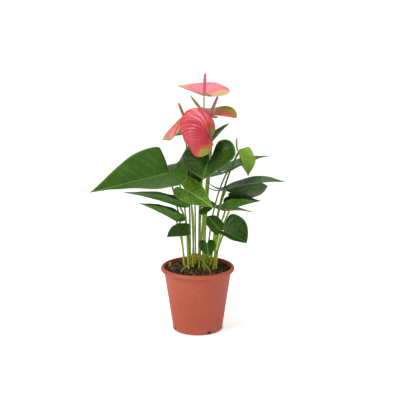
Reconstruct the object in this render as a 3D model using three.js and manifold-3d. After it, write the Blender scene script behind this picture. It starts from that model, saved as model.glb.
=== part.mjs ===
// Potted anthurium: a heart-leaved flowering plant in a round plastic nursery pot.
// Millimetres, +Z up. The origin is the centre of the pot's flat underside.
import * as THREE from "three";
import { mergeVertices } from "three/addons/utils/BufferGeometryUtils.js";
import Module from "manifold-3d";

const wasm = await Module();
wasm.setup();

// Driving dimensions.
const POT_HEIGHT = 105;
const RIM_RADIUS = 60; // outside of the rolled rim
const MOUTH_RADIUS = 54.6; // inside of the wall at the top
const BASE_RADIUS = 40.5; // outside of the wall at the bottom
const WALL = 1.3;
const FLOOR = 2;
const RIM_DEPTH = 7;
const DRAIN_NOTCHES = 4;
const DRAIN_WIDTH = 7;
const DRAIN_HEIGHT = 5;
const DRAIN_FIRST_ANGLE = -63; // degrees, from +X
const SOIL_LEVEL = 98;
const SOIL_CROWN = 102; // the soil is heaped a little in the middle
const SOCKET_DEPTH = 8; // how deep the stalks stand in the soil
const GAP = 0.35; // clearance between pieces that touch
const BLADE_THICKNESS = 0.9;
const STALK_SIDES = 6;
const STALK_STEPS = 7;

const degrees = THREE.MathUtils.degToRad;

// ---------------------------------------------------------------- solids

// A geometry, moved by a matrix, as a manifold solid.
function solidOf(geometry, matrix = new THREE.Matrix4()) {
  const loose = geometry.index ? geometry.toNonIndexed() : geometry;
  const bare = new THREE.BufferGeometry()
    .setAttribute("position", loose.getAttribute("position").clone())
    .applyMatrix4(matrix);
  const merged = mergeVertices(bare, 1e-3);
  return new wasm.Manifold(
    new wasm.Mesh({
      numProp: 3,
      vertProperties: merged.getAttribute("position").array,
      triVerts: new Uint32Array(merged.index.array),
    }),
  );
}

// The largest connected part of a manifold solid, as a geometry.
function geometryOf(solid) {
  const largest = solid
    .decompose()
    .reduce((a, b) => (b.volume() > a.volume() ? b : a));
  const mesh = largest.getMesh();
  return new THREE.BufferGeometry()
    .setAttribute(
      "position",
      new THREE.BufferAttribute(new Float32Array(mesh.vertProperties), 3),
    )
    .setIndex(new THREE.BufferAttribute(new Uint32Array(mesh.triVerts), 1));
}

const plant = new THREE.Group();

function addPiece(name, geometry, material) {
  const mesh = new THREE.Mesh(geometry, material);
  mesh.name = name;
  plant.add(mesh);
  return mesh;
}

const finish = (color, roughness) =>
  new THREE.MeshStandardMaterial({ color, roughness, metalness: 0 });

const POT_PLASTIC = finish(0xc4644a, 0.55);
const SOIL = finish(0x2e2018, 0.95);
const LEAF_GREEN = finish(0x2f5f2b, 0.4);
const YOUNG_GREEN = finish(0x86b82c, 0.4);
const STALK_GREEN = finish(0x7a9d35, 0.5);
const SPATHE_PINK = finish(0xe8607a, 0.35);
const SPADIX_RED = finish(0xc85a50, 0.6);
const WITHERED_YELLOW = finish(0xb59a2c, 0.7);

// ---------------------------------------------------------------- blades

// How far the left and the right lobe reach behind the notch, as shares of the length.
const lobesOf = ({ lobe = 0.3 }) => (Array.isArray(lobe) ? lobe : [lobe, lobe]);

// The heart-shaped outline of a flat blade, from the tip round both sides to the notch where
// the stalk joins, which is the origin. Each half is three cubic arcs.
function heartOutline(blade) {
  const { length, halfWidth, point = 0.1, belly = 0.1, uneven = 1 } = blade;
  const { notch = 0.03, detail = 1 } = blade;
  const halfOutline = (lobe, width) => {
    const at = (along, across) => new THREE.Vector2(along * length, across * width);
    const arcs = [
      [at(1, 0), at(0.84, point), at(belly + 0.36, 1), at(belly, 1), 4],
      [at(belly, 1), at(-0.6 * lobe, 1), at(-lobe, 0.9), at(-lobe, 0.52), 3],
      [at(-lobe, 0.52), at(-lobe, 0.16), at(-notch - 0.07, 0.06), at(-notch, 0), 3],
    ];
    return arcs.flatMap(([a, b, c, d, pieces]) => {
      const count = Math.round(pieces * detail);
      return new THREE.CubicBezierCurve(a, b, c, d).getPoints(count).slice(0, count);
    });
  };
  const [leftLobe, rightLobe] = lobesOf(blade);
  return [
    ...halfOutline(leftLobe, halfWidth * uneven),
    new THREE.Vector2(-notch * length, 0),
    ...halfOutline(rightLobe, -halfWidth).slice(1).reverse(),
  ];
}

// The crease along the midrib is rounded over this far to either side.
const CREASE = 3;

// Where a point of the flat blade goes when the blade is bent, and the normal there.
// The midrib is an arc that droops towards the tip. Each half rises from the midrib at its fold
// angle, which opens towards the tip, and curls on from there along its own arc. The whole
// section twists about the midrib. Behind the stalk each lobe lifts square to its own face.
function bend(blade, along, across) {
  const { length, halfWidth, droop = 0, twist = 0 } = blade;
  const side = across >= 0 ? 0 : 1;
  const handed = side ? -1 : 1;
  const ofSide = (pair) => degrees((pair ?? [0, 0])[side]);
  const ahead = Math.max(0, along) / length;
  const fold = ofSide(blade.fold) + ofSide(blade.open) * ahead;
  const curl = ofSide(blade.curl) / halfWidth || 1e-9;
  const lobe = lobesOf(blade)[side] * length;
  const arc = along >= 0 ? degrees(droop) / length : ofSide(blade.lift) / lobe;
  const turn = arc || 1e-9;
  const slope = turn * Math.abs(along);
  const forward = (Math.sign(along) * Math.sin(slope)) / turn;
  const drop = ((along >= 0 ? -1 : 1) * (1 - Math.cos(slope))) / turn;
  const rise = fold + curl * Math.abs(across);
  const spin = degrees(twist) * (along / length);
  const axis = new THREE.Vector2();
  const sideways = (handed * (Math.sin(rise) - Math.sin(fold))) / curl;
  const offset = new THREE.Vector2(sideways, (Math.cos(fold) - Math.cos(rise)) / curl)
    .rotateAround(axis, spin);
  const facing = rise * Math.min(1, Math.abs(across) / CREASE);
  const normal = new THREE.Vector2(-handed * Math.sin(facing), Math.cos(facing))
    .rotateAround(axis, spin);
  const [sin, cos] = [Math.sin(slope), Math.cos(slope)];
  if (along < 0) {
    return {
      place: new THREE.Vector3(forward, offset.x + normal.x * drop, offset.y + normal.y * drop),
      normal: new THREE.Vector3(sin, normal.x * cos, normal.y * cos),
    };
  }
  return {
    place: new THREE.Vector3(forward + offset.y * sin, offset.x, drop + offset.y * cos),
    normal: new THREE.Vector3(normal.y * sin, normal.x, normal.y * cos),
  };
}

// A blade of leaf or spathe as one closed thin shell round its bent mid-surface, meshed in rings
// about a point a little ahead of the notch, from which the whole outline can be seen.
const HUB = 0.15;

function bladeGeometry(blade, thickness = BLADE_THICKNESS) {
  const outline = heartOutline(blade);
  const steps = Math.round(1.5 + 1.8 * (blade.detail ?? 1));
  const rings = Array.from({ length: steps }, (_, i) => ((i + 1) / steps) ** 0.8);
  const hub = HUB * blade.length;
  const count = outline.length;
  const positions = [];
  const addSheet = (offset) => {
    const put = (along, across) => {
      const { place, normal } = bend(blade, along, across);
      positions.push(...place.addScaledVector(normal, offset));
    };
    put(hub, 0);
    rings.forEach((r) => outline.forEach((p) => put(hub + (p.x - hub) * r, p.y * r)));
  };
  addSheet(thickness / 2);
  addSheet(-thickness / 2);
  const sheetSize = 1 + rings.length * count;
  const ringPoint = (sheet, ring, i) =>
    sheet * sheetSize + 1 + ring * count + (i % count);
  const index = [];
  const addFace = (sheet, a, b, c) =>
    index.push(...(sheet ? [a, b, c] : [a, c, b]));
  for (const sheet of [0, 1]) {
    for (let i = 0; i < count; i += 1) {
      addFace(sheet, sheet * sheetSize, ringPoint(sheet, 0, i + 1), ringPoint(sheet, 0, i));
      for (let ring = 0; ring < rings.length - 1; ring += 1) {
        const [a, b] = [ringPoint(sheet, ring, i), ringPoint(sheet, ring, i + 1)];
        const [c, d] = [ringPoint(sheet, ring + 1, i), ringPoint(sheet, ring + 1, i + 1)];
        addFace(sheet, a, b, d);
        addFace(sheet, a, d, c);
      }
    }
  }
  const edge = rings.length - 1;
  for (let i = 0; i < count; i += 1) {
    const [a, b] = [ringPoint(0, edge, i), ringPoint(0, edge, i + 1)];
    const [c, d] = [ringPoint(1, edge, i), ringPoint(1, edge, i + 1)];
    index.push(a, c, b, b, c, d);
  }
  return new THREE.BufferGeometry()
    .setAttribute("position", new THREE.Float32BufferAttribute(positions, 3))
    .setIndex(index);
}

// Places a blade: its notch at `at`, its midrib along heading and pitch, rolled about the midrib.
function placeBlade(object, { at, heading, pitch = 0, roll = 0 }) {
  object.position.set(...at);
  object.rotation.set(degrees(roll), -degrees(pitch), degrees(heading), "ZYX");
  object.updateMatrix();
}

function addBlade(name, blade, material) {
  const mesh = addPiece(name, bladeGeometry(blade), material);
  placeBlade(mesh, blade);
  return mesh;
}

// The space that a blade needs to itself, with the touching gap on both faces and a deeper notch.
function bladeClearance(mesh, blade) {
  const roomy = { ...blade, notch: 0.1 };
  return solidOf(bladeGeometry(roomy, BLADE_THICKNESS + 2 * GAP), mesh.matrix);
}

// ---------------------------------------------------------------- stalks

// The line of a stalk, from its root in the soil up to where it joins its blade.
// It leaves the soil nearly upright and arrives along `arrive`.
function stalkLine({ root, at, arrive = [0, 0, 1], bow = 0.35 }) {
  const [x, y] = root;
  const foot = new THREE.Vector3(x, y, SOIL_LEVEL - SOCKET_DEPTH);
  const top = new THREE.Vector3(...at);
  const reach = top.distanceTo(foot) * bow;
  const leave = top.clone().sub(foot).setZ(0).multiplyScalar(0.25);
  leave.z = top.z - foot.z;
  const direction = new THREE.Vector3(...arrive).normalize();
  return new THREE.CubicBezierCurve3(
    foot,
    foot.clone().addScaledVector(leave.normalize(), reach),
    top.clone().addScaledVector(direction, -reach),
    top,
  );
}

// A straight-sided tube of constant radius along a line.
function tubeGeometry(line, radius, steps = STALK_STEPS) {
  const section = new THREE.Shape(
    Array.from({ length: STALK_SIDES }, (_, i) => {
      const angle = (2 * Math.PI * i) / STALK_SIDES;
      return new THREE.Vector2(radius * Math.cos(angle), radius * Math.sin(angle));
    }),
  );
  return new THREE.ExtrudeGeometry(section, {
    steps,
    bevelEnabled: false,
    extrudePath: line,
  });
}

const sockets = [];

// A stalk, cut back where it meets its blade if it has one. It leaves a socket in the soil.
function addStalk(name, stalk, bladeSpace) {
  const line = stalkLine(stalk);
  const whole = solidOf(tubeGeometry(line, stalk.radius));
  const solid = bladeSpace ? whole.subtract(bladeSpace) : whole;
  addPiece(name, geometryOf(solid), stalk.stalkMaterial ?? STALK_GREEN);
  sockets.push(solidOf(tubeGeometry(line, stalk.radius + GAP)));
}

function addLeaf(name, leaf) {
  const blade = addBlade(`${name}_blade`, leaf, leaf.material ?? LEAF_GREEN);
  addStalk(`${name}_petiole`, { radius: 1.5, ...leaf }, bladeClearance(blade, leaf));
}

// A spadix: a slim rounded cone that stands on the spathe's upper face at the notch.
function spadixGeometry({ length, radius }) {
  const profile = [
    [0, 0],
    [radius * 0.85, 0],
    [radius, length * 0.25],
    [radius * 0.85, length * 0.7],
    [radius * 0.5, length * 0.95],
    [0, length],
  ].map(([r, h]) => new THREE.Vector2(r, h));
  return new THREE.LatheGeometry(profile, 8);
}

function addFlower(name, flower) {
  const spathe = addBlade(`${name}_spathe`, flower, SPATHE_PINK);
  const space = bladeClearance(spathe, flower);
  addStalk(`${name}_peduncle`, { radius: 1.3, ...flower }, space);
  const up = new THREE.Vector3(0, 1, 0);
  const lean = new THREE.Vector3(...flower.spadix.lean).normalize();
  const place = new THREE.Matrix4()
    .makeRotationFromQuaternion(new THREE.Quaternion().setFromUnitVectors(up, lean))
    .setPosition(...flower.at);
  const spadix = solidOf(spadixGeometry(flower.spadix), place);
  addPiece(`${name}_spadix`, geometryOf(spadix.subtract(space)), SPADIX_RED);
}

// ---------------------------------------------------------------- leaves and flowers

// Each blade: `at` is the notch, heading turns from +X towards +Y, pitch raises the tip, and a
// positive roll raises the left half as seen from the stalk. fold and curl are [left, right].
const leaves = {
  leaf_left_large: {
    at: [-48, -14, 260], heading: 199, pitch: -10.5, roll: -38,
    length: 127, detail: 2, halfWidth: 50, lobe: [0.32, 0.08],
    fold: [29, 16], open: [15, 0], curl: [-10, 0], lift: [118, -100],
    root: [-22, 18], arrive: [-0.35, -1.1, 1],
  },
  leaf_left_middle: {
    at: [-28, -22, 208], heading: 178, pitch: 20, roll: 0,
    length: 94, halfWidth: 32, lobe: 0.15,
    fold: [30, 15], droop: 12, lift: [15, 40],
    root: [-15, -4], arrive: [-0.5, -0.8, 1],
  },
  leaf_left_lower: {
    at: [-34, -10, 182], heading: 185, pitch: 32, roll: 0,
    length: 68, halfWidth: 24, lobe: 0.15,
    fold: [40, 30], droop: 10, lift: [30, 30],
    root: [-21, 6], arrive: [-0.3, -0.3, 1],
  },
  leaf_centre_back: {
    at: [-11, 0, 266], heading: 265, pitch: -66, roll: 0,
    length: 46, halfWidth: 24, lobe: 0.25,
    fold: [10, 10], droop: 10, lift: [20, 20],
    root: [-6, 4], arrive: [0, -0.3, 1],
  },
  leaf_centre_pale: {
    at: [-18, -36, 238], heading: 345, pitch: -28, roll: 45,
    length: 52, halfWidth: 22, lobe: 0.3, material: YOUNG_GREEN,
    fold: [10, 10], droop: 10, lift: [30, 30],
    root: [-8, -3], arrive: [-0.45, -0.7, 1],
  },
  leaf_centre_small: {
    at: [9, -22, 207], heading: 335, pitch: 20, roll: 60,
    length: 24, halfWidth: 14, lobe: 0.3,
    fold: [10, 10], droop: 10, lift: [20, 20],
    root: [2, -6], arrive: [0, -0.3, 1],
  },
  leaf_centre_low: {
    at: [34, -24, 172], heading: 165, pitch: 48, roll: -60,
    length: 28, halfWidth: 12, lobe: 0.2, point: 0.6, belly: 0.4,
    fold: [10, 10], droop: 10, lift: [20, 20],
    root: [18, -1], arrive: [0.3, -0.3, 1],
  },
  leaf_front_top: {
    at: [18, -20, 281], heading: 253, pitch: -22, roll: 12,
    length: 46, detail: 2, halfWidth: 45, lobe: 0.7, belly: 0.15, notch: 0.06,
    fold: [5, 18], droop: 20, lift: [80, 80],
    root: [8, -3], arrive: [0.1, -0.3, 1],
  },
  leaf_back_top: {
    at: [23, 32, 304], heading: 20, pitch: 48, roll: 0,
    length: 44, halfWidth: 14, lobe: 0.3,
    fold: [30, 30], droop: 10, lift: [20, 20],
    root: [12, 26], arrive: [0.2, 0.2, 1],
  },
  leaf_young: {
    at: [66, 16, 290], heading: 316, pitch: -62, roll: -60,
    length: 44, halfWidth: 21, lobe: [0.6, 0.05], belly: 0.4, material: YOUNG_GREEN,
    fold: [12, 60], lift: [30, 0],
    root: [21, 12], arrive: [0.45, -0.45, 1],
  },
  leaf_back_right: {
    at: [51, 42, 257], heading: 18, pitch: 24, roll: 5,
    length: 78, halfWidth: 15, lobe: 0.25,
    fold: [25, 5], droop: 20, lift: [20, 20],
    root: [15, 27], arrive: [0.5, -0.3, 1],
  },
  leaf_right_large: {
    at: [45, -8, 233], heading: 0, pitch: 18, roll: 0,
    length: 98, halfWidth: 34, lobe: 0.3,
    fold: [-4, 10], open: [40, 0], droop: 22, lift: [70, 50],
    root: [27, 3], arrive: [0.4, -0.2, 1],
  },
  leaf_right_middle: {
    at: [56, 26, 222], heading: 10, pitch: 12, roll: 20,
    length: 62, halfWidth: 26, lobe: 0.15, point: 0.5, belly: 0.4,
    fold: [5, 5], curl: [-20, -20], droop: 10, lift: [20, 20],
    root: [26, 16], arrive: [0.4, 0.1, 1],
  },
  leaf_right_cupped: {
    at: [52, -12, 202], heading: 350, pitch: 22, roll: 0,
    length: 52, halfWidth: 22, lobe: 0.15,
    fold: [45, 35], curl: [60, 30], droop: 10, lift: [20, 20],
    root: [29, -6], arrive: [0.5, -0.1, 1],
  },
  leaf_right_lower: {
    at: [42, -32, 170], heading: 335, pitch: -18, roll: 60,
    length: 40, halfWidth: 33, lobe: 0.15, point: 0.75, belly: 0.2,
    fold: [0, 70], droop: 20, lift: [10, 10],
    root: [24, -11], arrive: [0.3, -0.4, 1],
  },
  leaf_left_front: {
    at: [-15, -24, 162], heading: 187, pitch: -2, roll: -45,
    length: 34, halfWidth: 21, lobe: 0.15, point: 0.8, belly: 0.25,
    fold: [60, 15], droop: 5, lift: [20, 20],
    root: [-14, -12], arrive: [-0.1, -0.3, 1],
  },
  leaf_front_small: {
    at: [15, -30, 150], heading: 280, pitch: -45, roll: 0,
    length: 24, halfWidth: 14, lobe: 0.3,
    fold: [-10, -10], droop: 10, lift: [20, 20],
    root: [11, -13], arrive: [0.1, -0.5, 1],
  },
  leaf_back_left: {
    at: [-36, 46, 250], heading: 140, pitch: 0, roll: -10,
    length: 80, halfWidth: 32, lobe: 0.28,
    fold: [15, 15], droop: 25, lift: [30, 30],
    root: [-16, 22], arrive: [-0.4, 0.3, 1],
  },
  leaf_back_centre: {
    at: [6, 54, 240], heading: 95, pitch: 5, roll: 0,
    length: 84, halfWidth: 36, lobe: 0.28,
    fold: [12, 12], droop: 30, lift: [30, 30],
    root: [2, 32], arrive: [0.1, 0.4, 1],
  },
  leaf_back_low: {
    at: [46, 46, 186], heading: 35, pitch: 0, roll: 0,
    length: 60, halfWidth: 26, lobe: 0.2,
    fold: [12, 12], droop: 20, lift: [20, 20],
    root: [14, 34], arrive: [0.3, 0.3, 1],
  },
  leaf_back_upper: {
    at: [-20, 40, 320], heading: 195, pitch: -15, roll: -20,
    length: 26, halfWidth: 12, lobe: 0.3, material: YOUNG_GREEN,
    fold: [10, 10], droop: 10, lift: [20, 20],
    root: [-12, 14], arrive: [-0.1, 0.4, 1],
  },
  leaf_withered: {
    at: [2, -25, 126], heading: 176, pitch: 20, roll: -30,
    length: 18, halfWidth: 7, material: WITHERED_YELLOW, stalkMaterial: WITHERED_YELLOW,
    fold: [20, 10], droop: 30, lift: [20, 20],
    root: [25, -22], arrive: [-1, 0, 0.8], bow: 0.2,
  },
};

const flowers = {
  flower_top: {
    at: [10, -6, 381], heading: 140, pitch: 13, roll: 0,
    length: 58, detail: 1.4, halfWidth: 40, lobe: 0.5, point: 0.02,
    fold: [16, 28], curl: [0, -10], lift: [14, 0],
    root: [3, 18], arrive: [0, -0.3, 1],
    spadix: { lean: [0.05, -0.1, 1], length: 35, radius: 2.5 },
  },
  flower_front: {
    at: [22, -31, 314], heading: 186, pitch: 74, roll: -50,
    length: 88, detail: 2.4, halfWidth: 24, lobe: [0.22, 0.12], point: 0.05, belly: 0.38,
    uneven: 1.6,
    fold: [-20, -60], open: [0, 165], curl: [-30, 30], droop: 140, lift: [20, 20],
    root: [10, 5], arrive: [0.03, -0.9, 1],
    spadix: { lean: [-0.2, -0.4, 0.9], length: 34, radius: 1.8 },
  },
  flower_left: {
    at: [-22, 24, 346], heading: 195, pitch: -39, roll: -10,
    length: 52, detail: 1.4, halfWidth: 14, lobe: 0.3, point: 0.7, belly: 0.6,
    fold: [-40, -20], droop: 15, lift: [20, 20],
    root: [-3, 20], arrive: [-0.25, 0, 1],
    spadix: { lean: [-0.4, 0, 1], length: 23, radius: 2.3 },
  },
  flower_right: {
    at: [20, 12, 350], heading: 160, pitch: 15, roll: -12,
    length: 47, detail: 2.4, halfWidth: 22, lobe: [0.35, 1], point: 0.1, uneven: 0.6,
    fold: [15, 15], droop: -60, lift: [20, 20], twist: 70,
    root: [11, 15], arrive: [0.03, 0, 1],
    spadix: { lean: [0.42, 0, 1], length: 31, radius: 2.5 },
  },
};

// Stalks without a blade: `at` is the free end.
const bareStalks = {
  withered_stalk: {
    at: [-14, -21, 113], root: [-31, -23], arrive: [1, 0.2, 0.4],
    radius: 1.1, bow: 0.3, stalkMaterial: WITHERED_YELLOW,
  },
  sprout: {
    at: [-46, 14, 107], root: [-45, 13], arrive: [-0.1, 0.1, 1], radius: 1.6,
  },
};

Object.entries(leaves).forEach(([name, leaf]) => addLeaf(name, leaf));
Object.entries(flowers).forEach(([name, flower]) => addFlower(name, flower));
Object.entries(bareStalks).forEach(([name, stalk]) => addStalk(name, stalk));

// ---------------------------------------------------------------- soil and pot

// Inside radius of the pot's wall at a height.
const wallRadius = (height) =>
  BASE_RADIUS - WALL + ((MOUTH_RADIUS - BASE_RADIUS + WALL) * height) / POT_HEIGHT;

function addSoil() {
  const bottom = FLOOR + GAP;
  const profile = [
    [0, bottom],
    [wallRadius(bottom) - GAP, bottom],
    [wallRadius(SOIL_LEVEL) - GAP, SOIL_LEVEL],
    [30, SOIL_CROWN - 1],
    [0, SOIL_CROWN],
  ].map(([r, h]) => new THREE.Vector2(r, h));
  const upright = new THREE.Matrix4().makeRotationX(Math.PI / 2);
  const heap = solidOf(new THREE.LatheGeometry(profile, 28), upright);
  addPiece("soil", geometryOf(sockets.reduce((soil, s) => soil.subtract(s), heap)), SOIL);
}

function addPot() {
  const top = POT_HEIGHT;
  const outside = (height) => wallRadius(height) + WALL;
  const profile = [
    [0, 0],
    [BASE_RADIUS - 1.5, 0],
    [BASE_RADIUS, 1.5],
    [outside(top - RIM_DEPTH), top - RIM_DEPTH],
    [RIM_RADIUS - 1, top - RIM_DEPTH],
    [RIM_RADIUS, top - RIM_DEPTH + 1.5],
    [RIM_RADIUS - 0.3, top - 1.6],
    [RIM_RADIUS - 2, top],
    [MOUTH_RADIUS + 1, top],
    [MOUTH_RADIUS, top - 1.2],
    [wallRadius(FLOOR), FLOOR],
    [0, FLOOR],
  ].map(([r, h]) => new THREE.Vector2(r, h));
  const upright = new THREE.Matrix4().makeRotationX(Math.PI / 2);
  let pot = solidOf(new THREE.LatheGeometry(profile, 40), upright);
  const notch = new THREE.BoxGeometry(9, DRAIN_WIDTH, 2 * DRAIN_HEIGHT);
  for (let i = 0; i < DRAIN_NOTCHES; i += 1) {
    const angle = degrees(DRAIN_FIRST_ANGLE + (360 / DRAIN_NOTCHES) * i);
    const place = new THREE.Matrix4()
      .makeRotationZ(angle)
      .setPosition(BASE_RADIUS * Math.cos(angle), BASE_RADIUS * Math.sin(angle), 0);
    pot = pot.subtract(solidOf(notch, place));
  }
  addPiece("pot", geometryOf(pot), POT_PLASTIC);
}

addSoil();
addPot();

export default plant;
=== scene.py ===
"""Looks of a potted anthurium: a plastic nursery pot, peat, leaves on petioles and four flowers.

Sizes are written in millimetres, and the finished meshes are in metres. Each leaf, stalk,
spathe and spadix is its own piece and stands for the CAD node of the same part.
"""

import logging
import math
from dataclasses import dataclass, field
from enum import Enum

import bpy
import numpy as np
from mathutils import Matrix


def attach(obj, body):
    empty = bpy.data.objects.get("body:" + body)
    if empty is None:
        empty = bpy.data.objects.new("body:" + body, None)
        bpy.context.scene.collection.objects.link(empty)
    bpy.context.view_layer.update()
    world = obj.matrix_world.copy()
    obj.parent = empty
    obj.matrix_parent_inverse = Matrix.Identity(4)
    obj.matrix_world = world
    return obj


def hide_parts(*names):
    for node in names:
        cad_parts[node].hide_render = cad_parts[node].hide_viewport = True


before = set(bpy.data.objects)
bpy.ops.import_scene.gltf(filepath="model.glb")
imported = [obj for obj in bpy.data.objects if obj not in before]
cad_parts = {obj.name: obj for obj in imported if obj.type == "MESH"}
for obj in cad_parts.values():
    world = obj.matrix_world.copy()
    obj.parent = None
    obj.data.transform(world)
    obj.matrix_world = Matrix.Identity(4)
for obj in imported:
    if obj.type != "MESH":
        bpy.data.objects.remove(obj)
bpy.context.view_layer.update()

Array = np.ndarray
Colour = tuple[float, float, float]
Pair = tuple[float, float]
Triple = tuple[float, float, float]
Material = bpy.types.Material
Node = bpy.types.Node
Socket = bpy.types.NodeSocket
Tree = bpy.types.NodeTree

MM = 0.001
BODY = "root"
CIRCLE = 2.0 * math.pi
HASH_AXES = np.array([374761393, 668265263, 1274126177])
HASH_SEED, HASH_STEP = 974711, 1103515245
log = logging.getLogger("anthurium")


# ---------------- numbers and noise


def smooth(low: float, high: float, value: Array) -> Array:
    """Smoothstep: 0 at low, 1 at high, and 3t^2 - 2t^3 between them.

    Args:
        low: value that gives 0.
        high: value that gives 1.
        value: the numbers to map.

    Returns:
        The mapped numbers.
    """
    part = np.clip((value - low) / (high - low), 0.0, 1.0)
    return part * part * (3.0 - 2.0 * part)


def lattice_noise(points: Array, cell: float, seed: int) -> Array:
    """Smooth noise: hashed values on a cubic lattice, blended by smoothstep between corners.

    Args:
        points: (n, 3) places.
        cell: side of a lattice cell.
        seed: a whole number that picks the pattern.

    Returns:
        (n,) values from -1 to 1.
    """
    low = np.floor(points / cell).astype(np.int64)
    part = smooth(0.0, 1.0, points / cell - low)
    total = np.zeros(len(points))
    for corner in np.ndindex(2, 2, 2):
        key = (low + corner) @ HASH_AXES + seed * HASH_SEED
        key = (key ^ (key >> 13)) * HASH_STEP
        value = ((key ^ (key >> 16)) & 0xFFFF) / 32767.5 - 1.0
        total += np.prod(np.where(corner, part, 1.0 - part), axis=1) * value
    return total


def unit(vectors: Array) -> Array:
    """Vectors divided by their lengths.

    Args:
        vectors: (..., 3) vectors.

    Returns:
        Vectors of length 1, or 0 where the length was 0.
    """
    return vectors / np.maximum(np.linalg.norm(vectors, axis=-1, keepdims=True), 1e-12)


def point_normals(points: Array, faces: Array) -> Array:
    """Normals at points: the sum of the cross products of the faces round each, made unit.

    Args:
        points: (n, 3) places.
        faces: (k, 3) triangles.

    Returns:
        (n, 3) unit normals.
    """
    a, b, c = (points[faces[:, i]] for i in range(3))
    cross = np.cross(b - a, c - a)
    total = np.zeros_like(points)
    for i in range(3):
        np.add.at(total, faces[:, i], cross)
    return unit(total)


def turns(count: int) -> Array:
    """Even steps round a circle.

    Args:
        count: number of steps.

    Returns:
        (count,) angles from 0, in radians.
    """
    return np.arange(count) * (CIRCLE / count)


def cubic(corners: tuple[Array, ...] | Array, t: Array) -> Array:
    """A Bezier curve: corners weighted by (1-t)^3, 3(1-t)^2 t, 3(1-t) t^2 and t^3.

    Args:
        corners: its four corners.
        t: 0 at the start to 1 at the end, shaped to broadcast with a corner.

    Returns:
        The places on the curve.
    """
    weights = ((1 - t) ** 3, 3 * (1 - t) ** 2 * t, 3 * (1 - t) * t * t, t**3)
    return sum(w * c for w, c in zip(weights, corners))


def distances(line: Array) -> Array:
    """Distance run along a polyline: the running sum of its steps.

    Args:
        line: (n, k) places.

    Returns:
        (n,) distances from the first place.
    """
    steps = np.linalg.norm(np.diff(line, axis=0), axis=1)
    return np.concatenate([[0.0], np.cumsum(steps)])


# ---------------- surfaces and pieces


@dataclass
class Surface:
    """A mesh before it is handed to Blender.

    Attributes:
        points: (n, 3) places in millimetres.
        faces: arrays of triangles (k, 3) or quads (k, 4), facing outwards.
        marks: named values per point, (n,) or (n, 3), for the materials to read.
    """

    points: Array
    faces: list[Array]
    marks: dict[str, Array] = field(default_factory=dict)

    def joined(self, other: "Surface") -> "Surface":
        """This surface and another with the same marks as one.

        Args:
            other: the surface to add.

        Returns:
            One surface with the points and faces of both.
        """
        marks = {k: np.concatenate([v, other.marks[k]]) for k, v in self.marks.items()}
        faces = self.faces + [f + len(self.points) for f in other.faces]
        return Surface(np.concatenate([self.points, other.points]), faces, marks)


def grid_faces(rows: int, columns: int, closed: bool = True) -> Array:
    """Quads of a grid of points that are numbered row by row.

    Args:
        rows: number of rows of points.
        columns: number of points in a row.
        closed: whether the last column meets the first.

    Returns:
        (k, 4) quads, turning from row to row and then along the row.
    """
    row, column = np.meshgrid(
        np.arange(rows - 1), np.arange(columns if closed else columns - 1), indexing="ij"
    )
    here, after = row * columns + column, row * columns + (column + 1) % columns
    return np.stack([here, after, after + columns, here + columns], axis=-1).reshape(-1, 4)


def ring_surface(grid: Array, start: Array, end: Array, marks: dict[str, Array]) -> Surface:
    """A closed surface from rings of points, shut by one pole point at each end.

    Args:
        grid: (rows, columns, 3) points; each row is a ring that closes on itself, turning
            anticlockwise as seen from the far end.
        start: (3,) pole before the first ring.
        end: (3,) pole after the last ring.
        marks: values per grid point. A pole takes the mean of the ring next to it.

    Returns:
        The closed surface.
    """
    rows, columns = grid.shape[:2]
    count = rows * columns
    ring = np.arange(columns)
    after = (ring + 1) % columns
    top = count - columns
    caps = [
        np.stack([np.full(columns, count), after, ring], axis=-1),
        np.stack([np.full(columns, count + 1), top + ring, top + after], axis=-1),
    ]
    filled = {
        name: np.append(values, [values[0].mean(), values[-1].mean()])
        for name, values in marks.items()
    }
    points = np.concatenate([grid.reshape(-1, 3), [start], [end]])
    return Surface(points, [grid_faces(rows, columns), *caps], filled)


def tube(line: Array, side: Array, other: Array, radii: Array,
         marks: dict[str, Array]) -> Surface:
    """A closed tube: round each point of a line, radius times (cos turn, sin turn).

    Args:
        line: (rows, 3) its middle.
        side: (rows, 3) or (3,) unit vectors square to the line.
        other: unit vectors square to the line and to side.
        radii: (rows, columns) radii.
        marks: values per point, (rows, columns).

    Returns:
        The tube, closed at the line's ends.
    """
    turn = turns(radii.shape[1])
    grid = (
        line[:, None]
        + side[..., None, :] * (radii * np.cos(turn))[..., None]
        + other[..., None, :] * (radii * np.sin(turn))[..., None]
    )
    return ring_surface(grid, line[0], line[-1], marks)


def revolved(profile: Array, sides: int) -> Array:
    """A profile carried round the Z axis.

    Args:
        profile: (rows, 2) radius and height.
        sides: number of points in a ring.

    Returns:
        (rows, sides, 3) points: x = r cos(turn), y = r sin(turn), z = height.
    """
    turn = turns(sides)
    radius, height = profile[:, :1], profile[:, 1:]
    return np.stack([radius * np.cos(turn), radius * np.sin(turn), height + 0 * turn], axis=-1)


def rounded_profile(corners: list[Triple], steps: int = 5) -> Array:
    """A polyline of corners, each rounded by a quadratic arc that stays short of its neighbours.

    Args:
        corners: radius, height and rounding length of each corner.
        steps: points on each arc.

    Returns:
        (n, 2) radius and height along the profile.
    """
    places = np.array([c[:2] for c in corners])
    pieces = [places[:1]]
    t = np.linspace(0.0, 1.0, steps)[:, None]
    for before, here, after, (_, _, rounding) in zip(places, places[1:], places[2:], corners[1:]):
        room = 0.45 * min(np.linalg.norm(before - here), np.linalg.norm(after - here))
        back, ahead = (here + unit(p - here) * min(rounding, room) for p in (before, after))
        pieces.append((1 - t) ** 2 * back + 2 * t * (1 - t) * here + t * t * ahead)
    return np.concatenate([*pieces, places[-1:]])


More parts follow.
